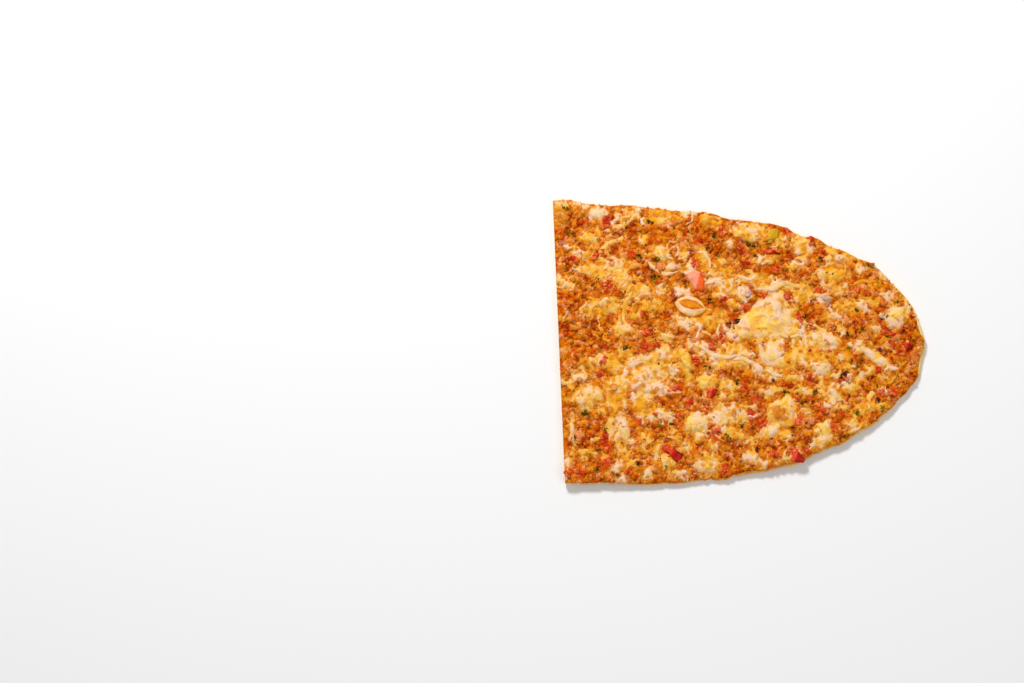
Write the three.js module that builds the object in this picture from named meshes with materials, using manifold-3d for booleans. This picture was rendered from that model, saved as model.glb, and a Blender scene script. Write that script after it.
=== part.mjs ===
// Half of a long oval cheese lahmacun, cut straight across the middle.
// A thin baked flatbread carries a crumbly layer of minced meat with cheese melted into it. Thicker
// lumps and strands of cheese and pieces of tomato and pepper lie on that layer.
// Millimetres, +Z up. The cut side faces -X, the round tip +X, and the origin is on the level of the
// flat underside, below the middle of the piece.
import * as THREE from "three";
import { mergeVertices } from "three/addons/utils/BufferGeometryUtils.js";
import Module from "manifold-3d";

// The uneven crust, x and y from the middle of the cut: front corner, round the tip, back corner
const CRUST = [
  [4, -97], [16, -97.6], [28, -97], [40, -97.6], [52, -98], [66, -97.3], [80, -96.5], [93, -95.2],
  [103, -93.6], [110, -95.6], [117, -91.8], [127, -90.6], [139, -88.6], [151, -85.8], [161, -84.2],
  [169, -79.2], [180, -74], [190, -70.6], [200, -63.6], [211, -58], [220, -50], [227, -42.5],
  [236, -33.5], [243, -24], [246, -13], [248.6, -2], [245.8, 8], [242.4, 19], [236.5, 29],
  [228.5, 38], [221, 46.5], [213.5, 54.4], [203, 57.4], [195, 63], [184, 66], [176, 71.6],
  [164, 73], [155, 78.6], [142, 81], [129, 82.6], [116, 84.6], [105, 87.8], [94, 89.8], [82, 90],
  [70, 91.6], [58, 93.2], [46, 94.4], [34, 94.4], [24, 94.4], [13, 97], [4, 98], [-3.8, 97],
];
const CENTRE = new THREE.Vector2(105, 0);
const CORNER_RUN = 12;

// The half oval that the crust runs close to
const TIP_REACH = 247;
const SIDE_REACH = 97;
const BACK_FULLNESS = 2.0;
const FRONT_FULLNESS = 2.4;

// Heights of the layers
const DOUGH = 3.0;
const RIM_RISE = 0.3;
const RIM_WIDTH = 2.6;
const RIM_WIDTH_SWING = 1.2;
const RIM_WAVE = 17;
const CUT_SHARE = 0.12;
const GAP = 0.3;
const MEAT = 2.3;
const MEAT_SIDE = 1.0;
const EDGE_LIFT = 2.6;
const LIFT_START = 0.7;
const LIFT_END = 1.03;
const LIFT_LEAST = 0.1;
const LIFT_WAVE = { length: 26, front: 1.2, back: 3.6 };

// The crust's profile: how far in from the outline, as a share of the rim, and the height there
// above the underside, on the crust and on the cut
const RIM_PROFILE = [
  { inset: 0.4, height: 0.1, cutHeight: 0 },
  { inset: 0.04, height: DOUGH * 0.32, cutHeight: DOUGH * 0.3 },
  { inset: 0, height: DOUGH * 0.62, cutHeight: DOUGH * 0.62 },
  { inset: 0.12, height: DOUGH + RIM_RISE * 0.45, cutHeight: DOUGH * 0.96 },
  { inset: 0.42, height: DOUGH + RIM_RISE, cutHeight: DOUGH },
  { inset: 0.9, height: DOUGH, cutHeight: DOUGH },
];

// Relief of the topping: wave length and height of each octave
const RELIEF = [
  { length: 15, height: 0.8 },
  { length: 6.5, height: 1.3 },
];
const EDGE_RELIEF = 0.35;
const EDGE_BODY = 0.6;
const TOPPING_STEP = 5.8;
const COARSE_STEP = 12.5;
const INNER_SHARES = [0.9, 0.84, 0.77, 0.7, 0.5, 0.25];

// The topping's side, inwards from the rim: the foot, the shoulder and where the top begins
const TOPPING_FOOT = 0.35;
const TOPPING_SHOULDER = { beyond: 0.2, rise: MEAT_SIDE * 0.6 };
const TOPPING_BROW = 1.1;
const CROWN_START = 0.9;

// Loose crumbs of meat fused to the topping
const CRUMB_PITCH = 17;
const CRUMB_LENGTH = { least: 4.4, most: 7.4 };
const CRUMB_TALL = 0.42;
const CRUMB_REACH = 0.88;
const CRUMB_PROUD = 0.5;
const CRUMB_FROM_CUT = 6;
const CRUMB_SEED = 20;

const COLOURS = {
  bread: 0xe3b572,
  topping: 0xc9712c,
  cheese: 0xf6dc98,
  tomato: 0xe2553a,
  red_pepper: 0xc9262a,
  green_pepper: 0xa9a431,
};

// Lumps and strands of melted cheese: middle, length, width, turn in degrees and height over the meat
const CHEESE = [
  { x: 141, y: 17, length: 32, width: 28, turn: 30, rise: 3.4 },
  { x: 180, y: 1, length: 19, width: 12, turn: -20, rise: 2.4 },
  { x: 212, y: -10, length: 26, width: 7, turn: -36, rise: 2.2 },
  { x: 228, y: 17, length: 15, width: 12, turn: 40, rise: 1.9 },
  { x: 89, y: 24, length: 20, width: 11, turn: -14, rise: 3.0 },
  { x: 151, y: -47, length: 21, width: 17, turn: 15, rise: 2.2 },
  { x: 143, y: -61, length: 13, width: 9, turn: 20, rise: 1.8 },
  { x: 86, y: -13, length: 20, width: 7.5, turn: -64, rise: 2.3 },
  { x: 26, y: 87, length: 10.5, width: 8, turn: 10, rise: 1.9 },
  { x: 69, y: 61, length: 13, width: 7.5, turn: -25, rise: 2.0 },
  { x: 92, y: -57, length: 16, width: 13, turn: 25, rise: 2.1 },
  { x: 44, y: -60, length: 17, width: 8, turn: -78, rise: 2.0 },
  { x: 128, y: 72, length: 21, width: 8, turn: -10, rise: 1.9 },
  { x: 177, y: -18, length: 13, width: 10, turn: 0, rise: 2.0 },
  { x: 143, y: -9, length: 14, width: 12, turn: 60, rise: 1.9 },
  { x: 179, y: -59, length: 14, width: 11, turn: 50, rise: 1.8 },
  { x: 98, y: -27, length: 11, width: 9, turn: 0, rise: 1.8 },
];
const CHEESE_LOBES = [
  { count: 3, size: 0.112, shift: 2.1 },
  { count: 5, size: 0.08, shift: 1 },
];
const CHEESE_DENTS = { size: 0.3, perRadius: 1.9 };

// Flat pieces of tomato and pepper, as the cheese, with their thickness
const VEGETABLES = [
  { kind: "tomato", x: 93, y: 41, length: 15, width: 11, turn: 75, thick: 2.4 },
  { kind: "red_pepper", x: 160, y: -79, length: 10, width: 8, turn: 35, thick: 1.9 },
  { kind: "red_pepper", x: 79, y: -76, length: 13, width: 7, turn: -25, thick: 1.8 },
  { kind: "red_pepper", x: 146, y: 61, length: 12, width: 4, turn: -8, thick: 1.6 },
  { kind: "red_pepper", x: 103, y: -36, length: 10, width: 7.5, turn: 40, thick: 1.7 },
  { kind: "red_pepper", x: 235, y: -3, length: 8.5, width: 6.5, turn: -20, thick: 1.6 },
  { kind: "green_pepper", x: 146, y: 73, length: 9, width: 7.5, turn: 20, thick: 1.8 },
];
const VEGETABLE_CORNERS = 7;
const VEGETABLE_LEAST_REACH = 0.8;
const VEGETABLE_TILT = 0.25;
const VEGETABLE_BEVEL = 0.6;
const VEGETABLE_SUNK = 0.3;

const wasm = await Module();
wasm.setup();

// A repeatable stream of numbers from 0 to 1
function stream(seed) {
  let state = seed >>> 0;
  return () => {
    state = (state + 0x6d2b79f5) >>> 0;
    let mixed = Math.imul(state ^ (state >>> 15), 1 | state);
    mixed = (mixed + Math.imul(mixed ^ (mixed >>> 7), 61 | mixed)) ^ mixed;
    return ((mixed ^ (mixed >>> 14)) >>> 0) / 4294967296;
  };
}

const smooth = (from, to, value) => THREE.MathUtils.smoothstep(value, from, to);
const mix = THREE.MathUtils.lerp;

// Value noise from -1 to 1 over a grid of unit squares
function noise(x, y, layer = 0) {
  const corner = (i, j) => stream(i * 7919 + j * 104729 + layer * 1299709 + 17)() * 2 - 1;
  const [i, j] = [Math.floor(x), Math.floor(y)];
  const [u, v] = [smooth(0, 1, x - i), smooth(0, 1, y - j)];
  return mix(mix(corner(i, j), corner(i + 1, j), u), mix(corner(i, j + 1), corner(i + 1, j + 1), u), v);
}

// How far out a point lies: 0 at the middle of the cut, about 1 on the crust
function reach(x, y) {
  const fullness = y < 0 ? FRONT_FULLNESS : BACK_FULLNESS;
  return ((Math.abs(x) / TIP_REACH) ** fullness + (Math.abs(y) / SIDE_REACH) ** fullness) ** (1 / fullness);
}

// The edge of the bread curls up off the table, more at some places than at others
function lift(x, y) {
  const wave = Math.sin(x / LIFT_WAVE.length + (y < 0 ? LIFT_WAVE.front : LIFT_WAVE.back));
  const share = mix(LIFT_LEAST, 1, (1 + wave) / 2);
  return EDGE_LIFT * share * smooth(LIFT_START, LIFT_END, reach(x, y)) ** 2;
}

const crustPoints = CRUST.map(([x, y]) => new THREE.Vector2(x, y));
const crustCurve = new THREE.SplineCurve(crustPoints);
const cutCurve = new THREE.LineCurve(crustPoints.at(-1), crustPoints[0]);
crustCurve.arcLengthDivisions = 1200;
const CRUST_LENGTH = crustCurve.getLength();
const CUT_LENGTH = cutCurve.getLength();
const CRUST_PART = CRUST_LENGTH / (CRUST_LENGTH + CUT_LENGTH);

// One closed ring of points. place gets a point of the outline, and crust from 0 on the cut to 1 on
// the crust, and gives the point of the ring.
function ring(step, place) {
  const points = [];
  const trace = (curve, length, from, to, crustOf) => {
    const count = Math.max(5, Math.round(length / step));
    curve.getSpacedPoints(count).slice(0, -1).forEach((p, i) => {
      const along = i / count;
      points.push({ t: mix(from, to, along), at: place(p, crustOf(along)) });
    });
  };
  const crustOf = (along) => smooth(0, CORNER_RUN, Math.min(along, 1 - along) * CRUST_LENGTH);
  trace(crustCurve, CRUST_LENGTH, 0, CRUST_PART, crustOf);
  trace(cutCurve, CUT_LENGTH, CRUST_PART, 1, () => 0);
  return points;
}

// The share of a crust inset that a ring keeps: on the cut it stays almost on the outline
const insetAt = (p, crust, distance) =>
  p.clone().lerp(CENTRE, (distance * mix(CUT_SHARE, 1, crust)) / p.distanceTo(CENTRE));
const shrunk = (p, share) => CENTRE.clone().lerp(p, share);
const rimWidth = (p) => RIM_WIDTH + RIM_WIDTH_SWING * noise(p.x / RIM_WAVE, p.y / RIM_WAVE, 5);
const lifted = (p, z) => new THREE.Vector3(p.x, p.y, z + lift(p.x, p.y));

// Joins rings from the underside's middle, out, up and in to the top's middle into one closed skin
function shell(rings, bottomMiddle, topMiddle) {
  const corners = [bottomMiddle];
  const starts = rings.map((r) => {
    corners.push(...r.map((point) => point.at));
    return corners.length - r.length;
  });
  corners.push(topMiddle);
  const faces = [];
  const first = starts[0];
  rings[0].forEach((_, i) => faces.push(0, first + ((i + 1) % rings[0].length), first + i));
  const spread = (points) => Math.hypot(points[0].at.x - CENTRE.x, points[0].at.y - CENTRE.y);
  for (let r = 0; r + 1 < rings.length; r++) {
    const [here, beyond] = [rings[r], rings[r + 1]];
    const at = (which, i) => starts[r + which] + (i % rings[r + which].length);
    const widens = spread(here) <= spread(beyond);
    let [i, j] = [0, 0];
    while (i < here.length || j < beyond.length) {
      const nextHere = i < here.length ? (here[i + 1]?.t ?? 1) : 2;
      const nextBeyond = j < beyond.length ? (beyond[j + 1]?.t ?? 1) : 2;
      const stepHere = nextHere === nextBeyond ? widens : nextHere < nextBeyond;
      if (stepHere) faces.push(at(0, i), at(0, ++i), at(1, j));
      else faces.push(at(0, i), at(1, j + 1), at(1, j++));
    }
  }
  const [last, top] = [starts.at(-1), corners.length - 1];
  rings.at(-1).forEach((_, i) => faces.push(last + i, last + ((i + 1) % rings.at(-1).length), top));
  const geometry = new THREE.BufferGeometry().setFromPoints(corners);
  geometry.setIndex(faces);
  return geometry;
}

// The bread: a flat underside with a curled, rounded edge, and a low rim round the topping's bed
function breadShape() {
  const flat = (z) => (share) =>
    ring(COARSE_STEP / share, (p) => lifted(shrunk(p, share), z));
  const edge = ({ inset, height, cutHeight }) =>
    ring(TOPPING_STEP, (p, crust) =>
      lifted(insetAt(p, crust, rimWidth(p) * inset), mix(cutHeight, height, crust)));
  const rings = [
    ...[...INNER_SHARES].reverse().map(flat(0)),
    ...RIM_PROFILE.map(edge),
    ...INNER_SHARES.map(flat(DOUGH)),
  ];
  return shell(rings, lifted(CENTRE, 0), lifted(CENTRE, DOUGH));
}

// The height of the meat's top, lowest along the crust
function meatTop(p, crustNearness = 0) {
  const bumps = RELIEF.reduce(
    (sum, octave, i) => sum + octave.height * noise(p.x / octave.length, p.y / octave.length, i), 0);
  const body = MEAT + bumps * mix(1, EDGE_RELIEF, crustNearness);
  return DOUGH + GAP + Math.max(MEAT_SIDE, body * mix(1, EDGE_BODY, crustNearness));
}

// The height at which a piece lies on the topping
const bedHeight = (p) => Math.max(meatTop(p), DOUGH + GAP + MEAT);

// The topping: a bed of fine crumbs whose underside follows the bread
function toppingShape() {
  const under = (share) =>
    ring(COARSE_STEP / share, (p) => lifted(shrunk(p, share), DOUGH + GAP));
  const side = (beyond, z) =>
    ring(TOPPING_STEP, (p, crust) => lifted(insetAt(p, crust, rimWidth(p) + beyond), z));
  const top = (beyond, nearness) =>
    ring(TOPPING_STEP, (p, crust) => {
      const inner = insetAt(p, crust, rimWidth(p) + beyond);
      return lifted(inner, meatTop(inner, nearness * crust));
    });
  const crown = (share) =>
    ring(TOPPING_STEP / share, (p) => {
      const inner = shrunk(p, share);
      return lifted(inner, meatTop(inner));
    });
  const crownCount = Math.round(CENTRE.x / TOPPING_STEP) - 2;
  const crownShares = Array.from({ length: crownCount }, (_, i) => CROWN_START * (1 - i / crownCount));
  const rings = [
    ...[...INNER_SHARES].reverse().map(under),
    side(TOPPING_FOOT, DOUGH + GAP),
    side(TOPPING_SHOULDER.beyond, DOUGH + GAP + TOPPING_SHOULDER.rise),
    top(TOPPING_BROW, 1),
    ...crownShares.map(crown),
  ];
  return shell(rings, lifted(CENTRE, DOUGH + GAP), lifted(CENTRE, meatTop(CENTRE)));
}

// Solids for joining and cutting, and back again
function solidOf(geometry) {
  const bare = geometry.clone();
  for (const name of ["normal", "uv"]) bare.deleteAttribute(name);
  const merged = mergeVertices(bare, 1e-4);
  return new wasm.Manifold(new wasm.Mesh({
    numProp: 3,
    vertProperties: merged.attributes.position.array,
    triVerts: new Uint32Array(merged.index.array),
  }));
}

function geometryOf(solid) {
  const { vertProperties, triVerts } = solid.getMesh();
  const geometry = new THREE.BufferGeometry();
  geometry.setAttribute("position", new THREE.BufferAttribute(new Float32Array(vertProperties), 3));
  geometry.setIndex(new THREE.BufferAttribute(new Uint32Array(triVerts), 1));
  return geometry;
}

const largest = (solid) => solid.decompose().sort((a, b) => b.volume() - a.volume())[0];

// Whether a point lies on one of the cheese lumps or vegetable pieces, with a margin round it
function covered(x, y, margin) {
  return [...CHEESE, ...VEGETABLES].some((piece) => {
    const turn = THREE.MathUtils.degToRad(piece.turn);
    const [dx, dy] = [x - piece.x, y - piece.y];
    const along = (dx * Math.cos(turn) + dy * Math.sin(turn)) / (piece.length / 2 + margin);
    const across = (dy * Math.cos(turn) - dx * Math.sin(turn)) / (piece.width / 2 + margin);
    return along * along + across * across < 1;
  });
}

// Larger crumbs, one to each square of an uneven grid, half sunk in the topping
function crumbs() {
  const random = stream(CRUMB_SEED);
  const made = [];
  for (let x = CRUMB_PITCH / 2; x < TIP_REACH; x += CRUMB_PITCH) {
    for (let y = -SIDE_REACH; y < SIDE_REACH; y += CRUMB_PITCH) {
      const at = new THREE.Vector2(x + (random() - 0.5) * CRUMB_PITCH, y + random() * CRUMB_PITCH);
      const length = mix(CRUMB_LENGTH.least, CRUMB_LENGTH.most, random() ** 2);
      const turn = random() * Math.PI;
      const width = length * mix(0.6, 0.85, random());
      const tall = width * CRUMB_TALL;
      const roll = random() * Math.PI;
      const outside = at.x < CRUMB_FROM_CUT || reach(at.x, at.y) > CRUMB_REACH;
      if (outside || covered(at.x, at.y, length / 2 + 1)) continue;
      const height = Math.max(meatTop(at), DOUGH + GAP + tall) + CRUMB_PROUD;
      const crumb = new THREE.IcosahedronGeometry(1, 0)
        .rotateX(roll)
        .scale(length / 2, width / 2, tall)
        .rotateZ(turn)
        .translate(at.x, at.y, lifted(at, height).z);
      made.push(solidOf(crumb));
    }
  }
  return made;
}

// A lump of cheese: a squashed, uneven ball that sinks into the topping
function lumpShape(lump, index) {
  const ball = new THREE.SphereGeometry(1, 14, 7);
  const position = ball.attributes.position;
  const corner = new THREE.Vector3();
  for (let i = 0; i < position.count; i++) {
    corner.fromBufferAttribute(position, i);
    const turnAbout = Math.atan2(corner.y, corner.x);
    const ringShare = Math.hypot(corner.x, corner.y);
    const lobes = CHEESE_LOBES.reduce(
      (sum, lobe) => sum + lobe.size * Math.sin(lobe.count * turnAbout + index * lobe.shift), 0);
    const swell = 1 + ringShare * lobes;
    const { size, perRadius } = CHEESE_DENTS;
    corner.x *= swell;
    corner.y *= swell;
    corner.z *= 1 + size * noise(corner.x * perRadius + index * 5, corner.y * perRadius, 9);
    position.setXYZ(i, ...corner);
  }
  const middle = new THREE.Vector2(lump.x, lump.y);
  return ball
    .rotateX(Math.PI / 2)
    .scale(lump.length / 2, lump.width / 2, lump.rise)
    .rotateZ(THREE.MathUtils.degToRad(lump.turn))
    .translate(lump.x, lump.y, lifted(middle, bedHeight(middle)).z);
}

// A flat piece of tomato or pepper with uneven corners
function vegetableShape(piece, index) {
  const random = stream(100 + index);
  const outline = new THREE.Shape(
    Array.from({ length: VEGETABLE_CORNERS }, (_, i) => {
      const angle = (i / VEGETABLE_CORNERS) * 2 * Math.PI;
      const out = mix(VEGETABLE_LEAST_REACH, 1, random());
      return new THREE.Vector2(
        (piece.length / 2 - VEGETABLE_BEVEL) * out * Math.cos(angle),
        (piece.width / 2 - VEGETABLE_BEVEL) * out * Math.sin(angle),
      );
    }),
  );
  const body = new THREE.ExtrudeGeometry(outline, {
    depth: piece.thick - VEGETABLE_BEVEL,
    bevelSize: VEGETABLE_BEVEL,
    bevelThickness: VEGETABLE_BEVEL,
    bevelSegments: 2,
  });
  const middle = new THREE.Vector2(piece.x, piece.y);
  return body
    .rotateX((random() - 0.5) * VEGETABLE_TILT)
    .rotateZ(THREE.MathUtils.degToRad(piece.turn))
    .translate(piece.x, piece.y, lifted(middle, bedHeight(middle)).z - VEGETABLE_SUNK);
}

// Cuts a piece clear of what it lies on, with a thin gap below it
const seated = (shape, under) =>
  largest(solidOf(shape).subtract(under.translate([0, 0, GAP])).subtract(under));

function add(group, name, geometry, colour, roughness) {
  const material = new THREE.MeshStandardMaterial({ color: colour, roughness, metalness: 0 });
  const mesh = new THREE.Mesh(geometry, material);
  mesh.name = name;
  group.add(mesh);
}

const lahmacun = new THREE.Group();
add(lahmacun, "bread", breadShape(), COLOURS.bread, 0.8);

const topping = largest(crumbs().reduce((all, crumb) => all.add(crumb), solidOf(toppingShape())));
add(lahmacun, "topping", geometryOf(topping), COLOURS.topping, 0.6);

CHEESE.forEach((lump, i) => {
  const name = "cheese_" + String(i + 1).padStart(2, "0");
  add(lahmacun, name, geometryOf(seated(lumpShape(lump, i), topping)), COLOURS.cheese, 0.4);
});

VEGETABLES.forEach((piece, i) => {
  const name = piece.kind + "_" + String(i + 1).padStart(2, "0");
  add(lahmacun, name, geometryOf(seated(vegetableShape(piece, i), topping)), COLOURS[piece.kind], 0.4);
});

// The origin goes below the middle of the finished piece
const box = new THREE.Box3().setFromObject(lahmacun);
const middle = box.getCenter(new THREE.Vector3());
for (const mesh of lahmacun.children) mesh.position.set(-middle.x, -middle.y, -box.min.z);

export default lahmacun;
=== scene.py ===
"""The looks of half a cheese lahmacun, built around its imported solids.

A thin baked flatbread, cut straight across, carries crumbs of minced meat with cheese melted over
them, and bits of tomato, pepper, onion and herbs. Places and sizes are in millimetres, measured
from the middle of the cut with +X towards the round tip, and become metres in the last step.
"""
import math

import bmesh
import bpy
import numpy as np
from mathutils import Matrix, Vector
from mathutils.bvhtree import BVHTree


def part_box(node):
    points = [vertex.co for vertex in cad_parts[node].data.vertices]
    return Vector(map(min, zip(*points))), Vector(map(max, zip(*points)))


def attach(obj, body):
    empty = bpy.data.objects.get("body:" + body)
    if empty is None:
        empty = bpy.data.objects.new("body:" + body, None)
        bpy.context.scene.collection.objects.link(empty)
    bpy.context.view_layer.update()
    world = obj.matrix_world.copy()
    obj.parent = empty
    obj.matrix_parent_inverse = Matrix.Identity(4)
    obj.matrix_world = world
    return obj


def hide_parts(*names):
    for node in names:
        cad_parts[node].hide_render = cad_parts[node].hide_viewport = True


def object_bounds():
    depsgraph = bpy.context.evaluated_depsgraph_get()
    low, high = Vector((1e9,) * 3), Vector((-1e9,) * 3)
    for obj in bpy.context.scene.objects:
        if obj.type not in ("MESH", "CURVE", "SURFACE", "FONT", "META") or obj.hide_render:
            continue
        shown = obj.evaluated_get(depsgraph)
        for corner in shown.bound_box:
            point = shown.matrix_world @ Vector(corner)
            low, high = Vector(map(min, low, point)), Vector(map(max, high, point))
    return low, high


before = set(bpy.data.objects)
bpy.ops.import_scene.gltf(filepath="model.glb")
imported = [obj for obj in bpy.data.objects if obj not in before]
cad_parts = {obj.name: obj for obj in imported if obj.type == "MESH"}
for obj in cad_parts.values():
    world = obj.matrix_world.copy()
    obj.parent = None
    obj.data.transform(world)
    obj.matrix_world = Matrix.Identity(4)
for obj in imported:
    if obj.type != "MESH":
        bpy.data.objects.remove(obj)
cad_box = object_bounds()
MM = 0.001

# The ends of the cut, and the layers and the curl of the edge, as in the solids
CUT_FRONT = (4.0, -97.0)
CUT_BACK = (-3.8, 97.0)
MOST_BACK = 98.0
CENTRE = (105.0, 0.0)
CORNER_RUN = 12
TIP_REACH = 247
SIDE_REACH = 97
BACK_FULLNESS = 2.0
FRONT_FULLNESS = 2.4
DOUGH = 3.0
GAP = 0.3
EDGE_LIFT = 2.6
LIFT_START = 0.7

# Grid of the topping's surface, and how far its edge stays in from the bread's
STEP = 0.65
EDGE_WIDTH = 0.4
EDGE_WIDTH_SWING = 0.6
EDGE_TAPER = 3.0
BARE_CRUST = 1.0
EDGE_RAGGED = 0.5

# How thin the topping gets, how deep its walls reach into the dough, and their rows
THINNEST_TOPPING = 0.8
THINNEST_MEAT = 0.35
TOPPING_SINK = 0.3
WALL_ROWS = 4

# Crumbs in the meat's surface: pitch, radius, height, layer of noise, and how far they are raised
CRUMB_FIELDS = [(6.0, 3.6, 2.1, 100, -0.35), (4.1, 2.55, 1.7, 200, 0.0), (2.2, 1.35, 0.9, 300, 0.02)]

# The bread's edge from the bottom up, as how far in and how high, and then the border of its top, as
# how far in along the cut, how far in elsewhere and how high
EDGE_PROFILE = [
    (0.7, 0.12), (0.32, 0.35), (0.1, 0.75), (0.0, 1.2), (0.02, 1.65), (0.1, 2.1), (0.28, 2.5), (0.6, 2.85),
]
EDGE_TOP = [(0.3, 1.0, 3.05), (0.5, 1.6, 3.1), (0.8, 2.4, 3.08), (1.2, 3.6, 3.05)]

# Counts of what is scattered by rule, the pitch of the spots on the cheese, and how finely the strands
# and lumps of cheese are made
CRUMB_COUNT = 2150
SMALL_RED_COUNT = 300
FLECK_COUNT = 520
SHRED_COUNT = 170
SPOT_PITCH = 5.5
STRAND_RINGS, STRAND_SIDES = 18, 8
STRAND_RISE = 0.8
LUMP_RINGS, LUMP_SIDES = 30, 84

# The floor and the camera, in metres and radians, with the lens and sensor in millimetres
FLOOR_REACH = 6.0
CAMERA_ELEVATION = math.radians(80)
CAMERA_DISTANCE = 2.5
CAMERA_AIM = (-0.154, 0.0, 0.004)
CAMERA_LENS = 129.8
CAMERA_SENSOR = 36

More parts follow.
